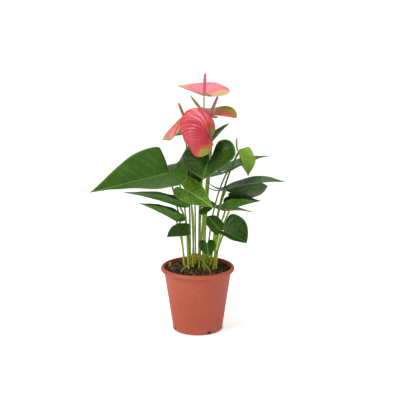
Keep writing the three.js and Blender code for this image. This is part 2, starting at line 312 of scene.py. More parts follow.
def repeated(points: Array, faces: list[Array], tone: Array) -> Surface:
    """Copies of one shape as one surface.

    Args:
        points: (copies, k, 3) points of each copy.
        faces: faces of one copy.
        tone: tone of each copy.

    Returns:
        The surface, with the mark tone.
    """
    copies, size = points.shape[:2]
    shift = size * np.arange(copies)[:, None, None]
    many = [(f[None] + shift).reshape(-1, f.shape[1]) for f in faces]
    return Surface(points.reshape(-1, 3), many, {"tone": np.repeat(tone, size)})


def linked(name: str, data: bpy.types.ID) -> bpy.types.Object:
    """Makes an object of some data and adds it to the scene.

    Args:
        name: the object's name.
        data: its mesh, light or camera.

    Returns:
        The object.
    """
    thing = bpy.data.objects.new(name, data)
    bpy.context.scene.collection.objects.link(thing)
    return thing


def bare_mesh(name: str, points: Array, faces: list[Array]) -> bpy.types.Object:
    """Makes a Blender object of points and faces.

    Args:
        name: the object's name.
        points: (n, 3) places in millimetres.
        faces: arrays of faces.

    Returns:
        The object, at the origin, with its place in its mesh.
    """
    mesh = bpy.data.meshes.new(name)
    mesh.from_pydata((points * MM).tolist(), [], [f for group in faces for f in group.tolist()])
    return linked(name, mesh)


def make_piece(name: str, surface: Surface, material: Material,
               node: str | None = None) -> bpy.types.Object:
    """Makes a Blender object of a surface, hangs it from the body and hides the CAD part it stands
    for.

    Args:
        name: the piece's name.
        surface: its shape.
        material: its finish.
        node: the CAD node it replaces, if there is one.

    Returns:
        The object.
    """
    piece = bare_mesh(name, surface.points, surface.faces)
    mesh = piece.data
    mesh.validate()
    for mark, values in surface.marks.items():
        kind, key = ("FLOAT_VECTOR", "vector") if values.ndim == 2 else ("FLOAT", "value")
        attribute = mesh.attributes.new(mark, kind, "POINT")
        attribute.data.foreach_set(key, np.asarray(values, np.float32).ravel())
    mesh.shade_smooth()
    mesh.materials.append(material)
    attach(piece, BODY)
    if node:
        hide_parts(node)
    log.info("%-24s %7d points %7d faces", name, len(mesh.vertices), len(mesh.polygons))
    return piece


# ---------------- node trees


def linear(colour: Colour) -> tuple[float, float, float, float]:
    """A display colour from 0 to 255 as the linear colour with alpha that a socket takes.

    Args:
        colour: red, green and blue, 0 to 255.

    Returns:
        Linear red, green, blue and 1.
    """
    part = np.array(colour) / 255.0
    value = np.where(part <= 0.04045, part / 12.92, ((part + 0.055) / 1.055) ** 2.4)
    return (*value.tolist(), 1.0)


class Wiring:
    """Adds nodes to one node tree and joins them. Any input takes a socket or a plain value."""

    def __init__(self, tree: Tree) -> None:
        """Starts wiring a tree.

        Args:
            tree: the node tree to fill.
        """
        self.tree = tree

    def feed(self, socket: Socket, value: object) -> None:
        """Puts a value on an input.

        Args:
            socket: the input.
            value: a socket, which is linked, or a number, colour or vector.
        """
        if isinstance(value, Socket):
            self.tree.links.new(value, socket)
        else:
            socket.default_value = value

    def add(self, kind: str, inputs: dict[str | int, object] | None = None,
            **settings: object) -> Node:
        """Adds a node.

        Args:
            kind: the node's type name.
            inputs: values of its inputs, by name or number.
            **settings: properties of the node.

        Returns:
            The new node.
        """
        node = self.tree.nodes.new(kind)
        for name, value in settings.items():
            setattr(node, name, value)
        for key, value in (inputs or {}).items():
            self.feed(node.inputs[key], value)
        return node

    def math(self, operation: str, a: object, b: object = 0.0, clamp: bool = False) -> Socket:
        """A Math node.

        Args:
            operation: the Math node's operation.
            a: first value.
            b: second value.
            clamp: whether the result is kept between 0 and 1.

        Returns:
            The result.
        """
        settings = {"operation": operation, "use_clamp": clamp}
        return self.add("ShaderNodeMath", {0: a, 1: b}, **settings).outputs[0]

    def line(self, value: Socket, gain: float, start: float = 0.0) -> Socket:
        """A straight line: value times gain plus start.

        Args:
            value: the input.
            gain: the slope.
            start: the result at 0.

        Returns:
            The result.
        """
        scaled = self.math("MULTIPLY", value, gain)
        return self.math("ADD", scaled, start) if start else scaled

    def span(self, value: object, low: float, high: float, to: Pair = (0.0, 1.0)) -> Socket:
        """A smooth Map Range node: low to high becomes to[0] to to[1].

        Args:
            value: the input.
            low: lowest input.
            high: highest input.
            to: the results there.

        Returns:
            The result.
        """
        inputs = dict(enumerate((value, low, high, *to)))
        return self.add("ShaderNodeMapRange", inputs, interpolation_type="SMOOTHSTEP").outputs[0]

    def mix(self, factor: object, a: object, b: object) -> Socket:
        """A colour Mix node.

        Args:
            factor: share of the second colour.
            a: first colour, as a socket or 0 to 255.
            b: second colour, as a socket or 0 to 255.

        Returns:
            The mixed colour.
        """
        first, second = (c if isinstance(c, Socket) else linear(c) for c in (a, b))
        inputs = {0: factor, 6: first, 7: second}
        return self.add("ShaderNodeMix", inputs, data_type="RGBA").outputs[2]

    def ramp(self, value: object, stops: list[tuple[float, Colour]]) -> Socket:
        """A Colour Ramp node.

        Args:
            value: the input, 0 to 1.
            stops: place and colour of each stop, in order.

        Returns:
            The colour.
        """
        node = self.add("ShaderNodeValToRGB", {0: value})
        elements = node.color_ramp.elements
        while len(elements) < len(stops):
            elements.new(1.0)
        for element, (place, colour) in zip(elements, stops):
            element.position = place
            element.color = linear(colour)
        return node.outputs[0]

    def place(self) -> Socket:
        """The Object coordinates."""
        return self.add("ShaderNodeTexCoord").outputs["Object"]

    def noise(self, scale: object, detail: float, stretch: Triple | None = None) -> Socket:
        """A Noise Texture of the Object coordinates, about 0.5 in the middle.

        Args:
            scale: the noise's scale.
            detail: its octaves.
            stretch: factors on the coordinates, if they are scaled first.

        Returns:
            The noise value.
        """
        vector = self.place()
        if stretch:
            vector = self.add("ShaderNodeMapping", {"Vector": vector, "Scale": stretch}).outputs[0]
        inputs = {"Vector": vector, "Scale": scale, "Detail": detail}
        return self.add("ShaderNodeTexNoise", inputs).outputs[0]

    def mark(self, name: str, output: str = "Fac") -> Socket:
        """One of a piece's marks.

        Args:
            name: the mark.
            output: Fac for a number, Vector for three.

        Returns:
            Its value.
        """
        return self.add("ShaderNodeAttribute", attribute_name=name).outputs[output]

    def parts(self, vector: Socket) -> tuple[Socket, ...]:
        """The three parts of a vector.

        Args:
            vector: the vector.

        Returns:
            Its X, Y and Z.
        """
        return tuple(self.add("ShaderNodeSeparateXYZ", {0: vector}).outputs)

    def bump(self, height: Socket, depth: float, strength: float = 1.0) -> Socket:
        """A Bump node.

        Args:
            height: the height, 0 to 1.
            depth: how far 1 stands out, in millimetres.
            strength: share of the effect.

        Returns:
            The bumped normal.
        """
        inputs = {"Height": height, "Distance": depth * MM, "Strength": strength}
        return self.add("ShaderNodeBump", inputs).outputs[0]


class MaterialWiring(Wiring):
    """The wiring of a new material with a Principled shader.

    Attributes:
        material: the material.
        shader: its Principled node.
    """

    def __init__(self, name: str) -> None:
        """Makes the material.

        Args:
            name: its name.
        """
        self.material = bpy.data.materials.new(name)
        self.material.use_nodes = True
        super().__init__(self.material.node_tree)
        self.shader = next(n for n in self.tree.nodes if n.type == "BSDF_PRINCIPLED")

    def mottle(self, broad: float, fine: float) -> Socket:
        """Uneven tone, by the mottle group.

        Args:
            broad: scale of its broad noise.
            fine: scale of its fine noise.

        Returns:
            A value from 0 to 1.
        """
        inputs = {"Broad": broad, "Fine": fine}
        return self.add("ShaderNodeGroup", node_tree=MOTTLE, inputs=inputs).outputs[0]

    def veins(self, width: float, net_scale: float, side: float, midrib: float,
              net: float) -> tuple[Socket, Socket]:
        """Veins, by the vein group: the strongest of side veins, midrib and net.

        Args:
            width: width of a side vein.
            net_scale: scale of the net.
            side: strength of the side veins.
            midrib: strength of the midrib.
            net: strength of the net.

        Returns:
            The strength of the lines, and their relief.
        """
        inputs = {"Width": width, "Net Scale": net_scale}
        group = self.add("ShaderNodeGroup", node_tree=VEINS, inputs=inputs)
        lines = self.line(group.outputs["Side"], side)
        for name, strength in (("Midrib", midrib), ("Net", net)):
            lines = self.math("MAXIMUM", lines, self.line(group.outputs[name], strength))
        return lines, group.outputs["Relief"]

    def finish(self, **values: object) -> Material:
        """Puts values on the shader's own sockets.

        Args:
            **values: a socket or plain value for each, with underscores for spaces.

        Returns:
            The material.
        """
        for name, value in values.items():
            self.feed(self.shader.inputs[name.replace("_", " ")], value)
        return self.material


def new_group(name: str, inputs: tuple[str, ...],
              outputs: tuple[str, ...]) -> tuple[Wiring, Node, Node]:
    """An empty shader node group whose sockets are numbers.

    Args:
        name: the group's name.
        inputs: names of the inputs.
        outputs: names of the outputs.

    Returns:
        The wiring of the group, its input node and its output node.
    """
    tree = bpy.data.node_groups.new(name, "ShaderNodeTree")
    for way, labels in (("INPUT", inputs), ("OUTPUT", outputs)):
        for label in labels:
            tree.interface.new_socket(label, in_out=way, socket_type="NodeSocketFloat")
    wires = Wiring(tree)
    return wires, wires.add("NodeGroupInput"), wires.add("NodeGroupOutput")


def vein_group() -> Tree:
    """Veins of a blade from its marks.

    A side vein lies where the vein number is a whole number and a half, and it is Width wide
    wherever the numbers are crowded or spread. The midrib is a band of even width along the
    middle. The net is the edge of Voronoi cells in the flat blade.

    Returns:
        The node group, with Midrib, Side and Net masks and a Relief height.
    """
    wires, source, result = new_group(
        "blade veins", ("Width", "Net Scale"), ("Midrib", "Side", "Net", "Relief")
    )
    number, spacing, beside = wires.parts(wires.mark("veins", "Vector"))
    off = wires.math("ABSOLUTE", wires.math("SUBTRACT", wires.math("FRACT", number), 0.5))
    distance = wires.math("MULTIPLY", off, spacing)
    side = wires.span(
        wires.math("DIVIDE", distance, source.outputs["Width"]), 0.25, 1.0, (1.0, 0.0)
    )
    midrib = wires.span(beside, 0.45, 1.3, (1.0, 0.0))
    places = {"Vector": wires.mark("sheet", "Vector"), "Scale": source.outputs["Net Scale"]}
    cells = wires.add("ShaderNodeTexVoronoi", places, feature="DISTANCE_TO_EDGE")
    net = wires.span(cells.outputs["Distance"], 0.0, 0.09, (1.0, 0.0))
    relief = wires.math("ADD", wires.math("MAXIMUM", midrib, side), wires.line(net, 0.25))
    for socket, value in zip(result.inputs, (midrib, side, net, relief)):
        wires.feed(socket, value)
    return wires.tree


def mottle_group() -> Tree:
    """Uneven tone: two noises of the Object coordinates, one broad and one fine, averaged.

    Returns:
        The node group, with a Value from 0 to 1.
    """
    wires, source, result = new_group("mottle", ("Broad", "Fine"), ("Value",))
    noises = [wires.noise(scale, 3.0) for scale in list(source.outputs)[:2]]
    mean = wires.line(wires.math("ADD", *noises), 0.5)
    wires.feed(result.inputs[0], wires.span(mean, 0.32, 0.68))
    return wires.tree


VEINS = vein_group()
MOTTLE = mottle_group()


# ---------------- finishes


@dataclass(frozen=True)
class LeafFinish:
    """The finish of a leaf blade: veined, glossy above, paler and duller beneath.

    Attributes:
        name: the material's name.
        deep: colour of the shaded parts between veins.
        fresh: colour of the brighter parts.
        vein: colour of midrib and side veins.
        back: colour of the underside.
        roughness: roughness of the upper side.
    """

    name: str
    deep: Colour
    fresh: Colour
    vein: Colour
    back: Colour
    roughness: float

    def build(self) -> Material:
        """Makes the leaf material."""
        wires = MaterialWiring(self.name)
        lines, relief = wires.veins(0.4, 0.45, side=0.24, midrib=0.7, net=0.1)
        mottle = wires.mottle(38.0, 210.0)
        under = wires.mark("under")
        green = wires.mix(wires.line(mottle, 0.7), self.deep, self.fresh)
        green = wires.mix(wires.mark("tint"), green, self.fresh)
        ring = wires.parts(wires.mark("sheet", "Vector"))[2]
        green = wires.mix(wires.line(wires.span(ring, 0.93, 1.0), 0.45), green, self.vein)
        above = wires.mix(lines, green, self.vein)
        back = wires.mix(mottle, self.back, self.fresh)
        beneath = wires.mix(wires.line(lines, 0.6), back, self.vein)
        dull = wires.line(under, 0.18, self.roughness)
        return wires.finish(
            Base_Color=wires.mix(under, above, beneath),
            Roughness=wires.math("ADD", dull, wires.line(mottle, 0.08)),
            Normal=wires.bump(relief, -0.04),
            Coat_Weight=0.08, Coat_Roughness=0.2, Specular_IOR_Level=0.2,
        )


@dataclass(frozen=True)
class SpatheFinish:
    """The finish of a spathe: waxy, ribbed, and green where the mark says so.

    Attributes:
        name: the material's name.
        petal: the main colour.
        pale: colour of its lighter patches.
        deep: the deeper colour laid on by the Tinting; on the front spathe it is painted shade.
        rib: colour of the ribs.
        warm: colour where the spathe is half way to green.
        green: colour of the green parts.
        back: colour of the underside.
        rib_width: width of a rib.
        rib_share: how strongly the ribs show, 0 to 1.
    """

    name: str
    petal: Colour
    pale: Colour
    deep: Colour
    rib: Colour
    warm: Colour
    green: Colour
    back: Colour
    rib_width: float = 0.7
    rib_share: float = 0.3

    def build(self) -> Material:
        """Makes the spathe material."""
        wires = MaterialWiring(self.name)
        lines, relief = wires.veins(self.rib_width, 0.3, self.rib_share, 0.5, 0.12)
        mottle = wires.mottle(45.0, 260.0)
        petal = wires.mix(mottle, self.petal, self.pale)
        # The deeper colour from the Tinting: the spathe's own, and painted shade on the front
        # spathe.
        body = wires.mix(wires.mark("blush_and_shade"), petal, self.deep)
        above = wires.mix(lines, body, self.rib)
        beneath = wires.mix(wires.line(lines, 0.7), self.back, self.rib)
        colour = wires.mix(wires.mark("under"), above, beneath)
        uneven = wires.line(wires.math("SUBTRACT", mottle, 0.5), 0.3)
        share = wires.math("ADD", wires.mark("greening"), uneven)
        colour = wires.mix(wires.span(share, 0.15, 0.5), colour, self.warm)
        return wires.finish(
            Base_Color=wires.mix(wires.span(share, 0.55, 0.85), colour, self.green),
            Roughness=wires.line(mottle, 0.1, 0.26),
            Normal=wires.bump(relief, -0.25),
            Coat_Weight=0.2, Coat_Roughness=0.15, Specular_IOR_Level=0.45,
        )


@dataclass(frozen=True)
class StalkFinish:
    """The finish of a stalk: smooth, finely streaked, and paler towards the root.

    Attributes:
        name: the material's name.
        root: colour at the soil.
        middle: colour of the main length.
        top: colour under the blade.
    """

    name: str
    root: Colour
    middle: Colour
    top: Colour

    def build(self) -> Material:
        """Makes the stalk material."""
        wires = MaterialWiring(self.name)
        streaks = wires.noise(1.0, 3.0, (900.0, 900.0, 40.0))
        drift = wires.line(wires.math("SUBTRACT", wires.mottle(30.0, 400.0), 0.5), 0.25)
        rise = wires.math("ADD", wires.mark("rise"), drift, clamp=True)
        stops = [(0.1, self.root), (0.42, self.middle), (0.85, self.middle), (1.0, self.top)]
        colour = wires.ramp(rise, stops)
        colour = wires.mix(wires.line(wires.mark("tint"), 0.7), colour, self.root)
        return wires.finish(
            Base_Color=wires.mix(wires.line(wires.span(streaks, 0.45, 0.7), 0.3), colour, self.top),
            Roughness=wires.line(streaks, 0.15, 0.33),
            Normal=wires.bump(streaks, 0.08, 0.6),
            Coat_Weight=0.08, Coat_Roughness=0.3, Specular_IOR_Level=0.3,
        )


@dataclass(frozen=True)
class SpadixFinish:
    """The finish of a spadix: a spike of tiny close-set flowers, darker between them.

    Attributes:
        name: the material's name.
        foot: colour at the spathe.
        tip: colour at the tip.
        gap: colour between the tiny flowers.
    """

    name: str
    foot: Colour
    tip: Colour
    gap: Colour

    def build(self) -> Material:
        """Makes the spadix material."""
        wires = MaterialWiring(self.name)
        mottle = wires.mottle(120.0, 700.0)
        colour = wires.mix(wires.mark("rise"), self.foot, self.tip)
        between = wires.line(wires.span(wires.mark("knobs"), 0.0, 0.55, (1.0, 0.0)), 0.7)
        colour = wires.mix(between, colour, self.gap)
        return wires.finish(
            Base_Color=wires.mix(wires.line(mottle, 0.25), colour, self.tip),
            Roughness=wires.line(mottle, 0.2, 0.42),
            Normal=wires.bump(wires.noise(1600.0, 2.0), 0.15, 0.5),
        )


@dataclass(frozen=True)
class PotFinish:
    """The finish of the pot: moulded plastic with a soft sheen, fine grain and faint scuffs.

    Attributes:
        body: the plastic's colour.
        warm: colour of its lighter patches.
        scuff: colour of dust and scuffs.
    """

    body: Colour
    warm: Colour
    scuff: Colour

    def build(self) -> Material:
        """Makes the pot's material."""
        wires = MaterialWiring("pot plastic")
        mottle = wires.mottle(22.0, 160.0)
        colour = wires.mix(wires.line(mottle, 0.35), self.body, self.warm)
        low = wires.span(wires.parts(wires.place())[2], 0.0, 0.02, (0.35, 0.0))
        grain = wires.noise(900.0, 3.0)
        dust = wires.math("MULTIPLY", low, wires.span(grain, 0.45, 0.65))
        lines = wires.noise(1.0, 3.0, (25.0, 25.0, 900.0))
        scuffs = wires.line(wires.span(lines, 0.62, 0.78), 0.18)
        return wires.finish(
            Base_Color=wires.mix(wires.math("MAXIMUM", dust, scuffs), colour, self.scuff),
            Roughness=wires.line(mottle, 0.12, 0.42),
            Normal=wires.bump(wires.math("ADD", grain, wires.line(lines, 0.4)), 0.12, 0.5),
        )


@dataclass(frozen=True)
class PeatFinish:
    """The finish of the peat: dark, matt and crumbly, each crumb with a tone of its own.

    Attributes:
        dark: colour of moist peat.
        brown: colour of drier peat and bark.
        straw: colour of pale fibres.
    """

    dark: Colour
    brown: Colour
    straw: Colour

    def build(self) -> Material:
        """Makes the peat's material."""
        wires = MaterialWiring("peat")
        coarse, fine = wires.noise(260.0, 4.0), wires.noise(1100.0, 3.0)
        colour = wires.mix(wires.span(coarse, 0.42, 0.66), self.dark, self.brown)
        colour = wires.mix(wires.mark("tone"), colour, self.straw)
        return wires.finish(
            Base_Color=wires.mix(wires.span(fine, 0.5, 0.7, (0.0, 0.6)), colour, self.dark),
            Roughness=wires.span(fine, 0.3, 0.7, (0.75, 0.98)),
            Normal=wires.bump(wires.math("ADD", coarse, fine), 0.8, 0.8),
        )


class Tone(Enum):
    """The kinds of leaf on the plant."""

    GREEN = "green"
    YOUNG = "young"
    WITHERED = "withered"


LEAF_FINISHES = {
    Tone.GREEN: LeafFinish(
        "leaf green", (18, 48, 2), (60, 102, 18), (112, 150, 60), (80, 128, 30), 0.34
    ),
    Tone.YOUNG: LeafFinish(
        "young leaf green", (42, 98, 18), (132, 180, 44), (196, 216, 130), (146, 182, 70), 0.36
    ),
    Tone.WITHERED: LeafFinish(
        "withered leaf", (120, 104, 22), (164, 148, 44), (190, 176, 96), (150, 138, 60), 0.6
    ),
}
LEAF_SLOTS = {Tone.GREEN: "leaf", Tone.YOUNG: "leaf_young", Tone.WITHERED: "withered"}
PETIOLE = StalkFinish("petiole", (208, 216, 76), (114, 162, 8), (80, 128, 8))
PEDUNCLE = StalkFinish("peduncle", (196, 206, 120), (160, 180, 88), (200, 198, 132))
WITHERED_STALK = StalkFinish("withered stalk", (150, 142, 70), (164, 156, 62), (128, 112, 44))
POT = PotFinish((190, 84, 56), (208, 106, 78), (212, 160, 138))
PEAT = PeatFinish((24, 14, 8), (100, 68, 44), (160, 136, 74))


# ---------------- blades


@dataclass(frozen=True)
class Blade:
    """A heart-shaped blade of a leaf or a spathe: how it is cut, bent and placed.

    Attributes:
        at: the notch, where the stalk joins.
        heading: direction of the midrib seen from above, in degrees from +X towards +Y.
        pitch: how far the tip is raised, in degrees.
        roll: how far the left half is raised about the midrib, in degrees.
        length: notch to tip.
        half_width: midrib to margin at the widest.
        lobe: how far the left and right lobe reach behind the notch, as a share of the length.
        point: how blunt the tip is; small is sharp.
        belly: place of the widest part, as a share of the length.
        uneven: width of the left half as a share of the right half's.
        notch: how far behind the stalk the notch ends, as a share of the length.
        fold: rise of the left and right half from the midrib, in degrees.
        opening: how much more each half rises at the tip, in degrees.
        curl: how far each half curls up between midrib and margin, in degrees.
        droop: how far the midrib bends down to the tip, in degrees.
        lift: how far each lobe bends up behind the notch, in degrees.
        twist: how far the section turns about the midrib by the tip, in degrees.
        ruffle: height of the waves of the margin.
        quilt: height of the swelling between side veins.
        radiating: angle between ribs that all leave the notch, in degrees; 0 for side veins.
        tint: how much of the fresher colour it has, 0 to 1.
        seed: picks the waves and unevenness.
        thickness: thickness of the shell in the middle.
    """

    at: Triple
    heading: float
    pitch: float
    roll: float
    length: float
    half_width: float
    lobe: Pair = (0.3, 0.3)
    point: float = 0.1
    belly: float = 0.1
    uneven: float = 1.0
    notch: float = 0.03
    fold: Pair = (10.0, 10.0)
    opening: Pair = (0.0, 0.0)
    curl: Pair = (0.0, 0.0)
    droop: float = 10.0
    lift: Pair = (20.0, 20.0)
    twist: float = 0.0
    ruffle: float = 0.6
    quilt: float = 0.14
    radiating: float = 0.0
    tint: float = 0.0
    seed: int = 1
    thickness: float = 0.5

    RINGS = 36
    HALF_POINTS = 64
    ARC_STEPS = 60
    RING_POWER = 0.85
    HUB = 0.15
    CREASE = 3.0
    VEIN_GAP = 0.13
    FAN = math.radians(24.0)
    RIB_BEND = 0.004
    STRAIGHT = 1e-9
    WAVES, FINE_WAVES = 16.0, 31.0
    NOISE_CELL, NOISE_SHARE = 17.0, 0.6
    EDGE_THINNING = 0.98
    MIDRIB_WIDTH, MIDRIB_HEIGHT, MIDRIB_FALL = 1.1, 0.9, 0.7

    def outline(self, lobe: float, width: float) -> Array:
        """Half of the flat outline, from the tip to the notch, in even steps.

        Three cubic arcs meet: tip to belly, belly to the lobe's back, and lobe to notch.

        Args:
            lobe: how far this half's lobe reaches behind the notch, as a share of the length.
            width: widest distance from the midrib.

        Returns:
            (HALF_POINTS + 1, 2) places along and across.
        """
        belly, notch = self.belly, self.notch
        arcs = np.array([
            [(1, 0), (0.84, self.point), (belly + 0.36, 1), (belly, 1)],
            [(belly, 1), (-0.6 * lobe, 1), (-lobe, 0.9), (-lobe, 0.52)],
            [(-lobe, 0.52), (-lobe, 0.16), (-notch - 0.07, 0.06), (-notch, 0)],
        ], float) * (self.length, width)
        t = np.linspace(0.0, 1.0, self.ARC_STEPS)[:, None, None]
        fine = cubic(arcs.transpose(1, 0, 2), t).transpose(1, 0, 2).reshape(-1, 2)
        run = distances(fine)
        even = np.linspace(0.0, run[-1], self.HALF_POINTS + 1)
        return np.stack([np.interp(even, run, fine[:, i]) for i in (0, 1)], axis=-1)

    def bent(self, along: Array, across: Array) -> Array:
        """Where points of the flat blade go when it is bent, in the blade's own frame.

        The midrib is an arc that droops to the tip. Each half rises from it at its fold angle,
        which opens towards the tip, and goes on along an arc of its own curl. The section turns
        about the midrib by the twist. Behind the notch each lobe bends away along an arc square
        to its own face, and that face turns round the midrib within the width of the crease.

        Args:
            along: distance ahead of the notch.
            across: distance left of the midrib.

        Returns:
            (n, 3) places with the notch at the origin and the midrib leaving along +X.
        """
        handed = np.where(across >= 0, 1.0, -1.0)
        beside = np.abs(across)

        def of_side(pair: Pair) -> Array:
            return np.where(across >= 0, *pair)

        def not_flat(bend: Array) -> Array:
            return np.where(np.abs(bend) < self.STRAIGHT, self.STRAIGHT, bend)

        def spun(sideways: Array, upwards: Array) -> tuple[Array, Array]:
            spin = math.radians(self.twist) * along / self.length
            c, s = np.cos(spin), np.sin(spin)
            return sideways * c - upwards * s, sideways * s + upwards * c

        ahead = np.maximum(0.0, along) / self.length
        fold = np.radians(of_side(self.fold) + of_side(self.opening) * ahead)
        curl = not_flat(np.radians(of_side(self.curl)) / self.half_width)
        rise = fold + curl * beside
        side, up = spun(
            handed * (np.sin(rise) - np.sin(fold)) / curl, (np.cos(fold) - np.cos(rise)) / curl
        )
        facing = rise * np.minimum(1.0, beside / self.CREASE)
        lean, stand = spun(-handed * np.sin(facing), np.cos(facing))
        back = np.radians(of_side(self.lift)) / (of_side(self.lobe) * self.length)
        turn = not_flat(np.where(along >= 0, math.radians(self.droop) / self.length, back))
        slope = turn * np.abs(along)
        forward = np.sign(along) * np.sin(slope) / turn
        drop = np.where(along >= 0, -1.0, 1.0) * (1.0 - np.cos(slope)) / turn
        before = [forward + up * np.sin(slope), side, drop + up * np.cos(slope)]
        behind = [forward, side + lean * drop, up + stand * drop]
        return np.stack([np.where(along < 0, b, a) for a, b in zip(before, behind)], axis=-1)

    def placed(self, points: Array) -> Array:
        """Turns points by roll, then pitch, then heading, and moves them to the notch.

        Args:
            points: (n, 3) places in the blade's own frame.

        Returns:
            (n, 3) places in the plant's frame.
        """
        h, p, r = (math.radians(a) for a in (self.heading, -self.pitch, self.roll))
        about_z = [[math.cos(h), -math.sin(h), 0], [math.sin(h), math.cos(h), 0], [0, 0, 1]]
        about_y = [[math.cos(p), 0, math.sin(p)], [0, 1, 0], [-math.sin(p), 0, math.cos(p)]]
        about_x = [[1, 0, 0], [0, math.cos(r), -math.sin(r)], [0, math.sin(r), math.cos(r)]]
        turn = np.array(about_z) @ np.array(about_y) @ np.array(about_x)
        return points @ turn.T + np.array(self.at)

    def vein_numbers(self, along: Array, across: Array) -> tuple[Array, Array]:
        """Numbers the side veins, so that each vein is a line of equal number.

        Ahead of the first vein they leave the midrib at a slant and bow towards the tip: the
        number is the distance along the midrib, less the slant. Behind it they fan out from
        the notch. Radiating ribs are equal steps of the angle round the notch, which is drawn
        towards the tip as the square of the distance beside.

        Args:
            along: distance ahead of the notch.
            across: distance from the midrib.

        Returns:
            The vein number, and the distance in millimetres from one number to the next.
        """
        beside = np.abs(across)
        if self.radiating > 0:
            step = math.radians(self.radiating)
            drawn = along + self.RIB_BEND * beside**2
            return np.arctan2(beside, drawn) / step, np.hypot(beside, drawn) * step
        gap = self.VEIN_GAP * self.length
        lean = 0.5 * beside + 0.25 * beside**2 / self.half_width
        ahead = along - lean
        angle = np.arctan2(beside, along) - np.arctan2(beside, np.maximum(lean, 1e-6))
        pinnate = gap / np.hypot(1.0, 0.5 + 0.5 * beside / self.half_width)
        number = np.where(ahead >= 0, ahead / gap, -angle / self.FAN)
        return number, np.where(ahead >= 0, pinnate, np.hypot(along, beside) * self.FAN)

    def relief(self, along: Array, across: Array, ring: Array, run: Array) -> Array:
        """Height of the blade over its smooth form.

        It swells between side veins as a cosine of the vein number, waves at the margin as a
        sine of the place along it, and is a little uneven all over.

        Args:
            along: distance ahead of the notch.
            across: distance left of the midrib.
            ring: 0 at the hub to 1 at the margin.
            run: 0 at the tip to 1 at the notch, along either margin.

        Returns:
            The height in millimetres.
        """
        number, spacing = self.vein_numbers(along, across)
        beside = np.abs(across)
        held = smooth(0.0, 5.0, beside) * smooth(1.0, 0.8, ring) * smooth(0.0, 6.0, spacing)
        swell = self.quilt * held * np.cos(CIRCLE * number)
        phase = self.seed * 1.7 + np.where(across >= 0, 1.0, 2.0) * 2.1
        long = np.sin(run * (self.WAVES + self.seed % 5) + phase)
        waves = long + 0.5 * np.sin(run * self.FINE_WAVES + phase)
        free = ring**4 * np.sqrt(np.sin(math.pi * np.clip(run, 0.0, 1.0)))
        flat = np.stack([along, across, 0.0 * along], axis=-1)
        drift = lattice_noise(flat, self.NOISE_CELL, self.seed)
        broad = self.NOISE_SHARE * drift * smooth(0.0, 8.0, beside)
        return swell + self.ruffle * (waves * free + broad)

    def surface(self) -> Surface:
        """The blade as a closed thin shell.

        Rings shrink from the margin to a hub a little ahead of the notch, from which the whole
        margin can be seen. Both faces are the bent sheet moved out by half the thickness, which
        falls to nothing at the margin, and the lower face swells along the midrib.

        Returns:
            The shell, with the marks sheet, veins, under and tint.
        """
        left = self.outline(self.lobe[0], self.half_width * self.uneven)
        right = self.outline(self.lobe[1], self.half_width)
        loop = np.concatenate([left, right[-2:0:-1] * (1, -1)])
        share = np.linspace(0.0, 1.0, self.HALF_POINTS + 1)
        share = np.concatenate([share, share[-2:0:-1]])
        steps = (np.arange(1, self.RINGS + 1) / self.RINGS)[:, None] ** self.RING_POWER
        middle = self.HUB * self.length
        columns = len(loop)
        along = np.append(middle + (loop[:, 0] - middle) * steps, middle)
        across = np.append(steps * loop[:, 1], 0.0)
        ring = np.append(np.repeat(steps, columns), 0.0)
        run = np.append(np.tile(share, self.RINGS), 0.5)

        hub = self.RINGS * columns
        count = hub + 1
        near = np.arange(columns)
        quads = grid_faces(self.RINGS, columns)[:, ::-1]
        fan = np.stack([near, (near + 1) % columns, np.full(columns, hub)], axis=-1)
        edge = near + hub - columns
        after = np.roll(edge, -1)
        rim = np.stack([edge + count, after + count, after, edge], axis=-1)

        split = np.concatenate([quads[:, :3], quads[:, [0, 2, 3]], fan])
        bare = self.bent(along, across)
        height = self.relief(along, across, ring, run)[:, None]
        lifted = bare + point_normals(bare, split) * height
        normals = point_normals(lifted, split)
        body = 0.5 * self.thickness * np.sqrt(1.0 - self.EDGE_THINNING * ring**8)
        ahead = np.clip(along / self.length, 0.0, 1.0)
        ridge = self.MIDRIB_HEIGHT - self.MIDRIB_FALL * ahead
        ridge = ridge * np.exp(-((across / self.MIDRIB_WIDTH) ** 2)) * (along > -1.0)
        upper = lifted + normals * body[:, None]
        lower = lifted - normals * (body + ridge * smooth(1.0, 0.9, ring))[:, None]

        sheet = np.stack([along, across, ring], axis=-1)
        veins = np.stack([*self.vein_numbers(along, across), np.abs(across)], axis=-1)
        marks = {
            "sheet": np.tile(sheet, (2, 1)),
            "veins": np.tile(veins, (2, 1)),
            "under": np.repeat((0.0, 1.0), count),
            "tint": np.full(2 * count, self.tint),
        }
        faces = [quads, fan, quads[:, ::-1] + count, fan[:, ::-1] + count, rim]
        return Surface(self.placed(np.concatenate([upper, lower])), faces, marks)


# ---------------- stalks


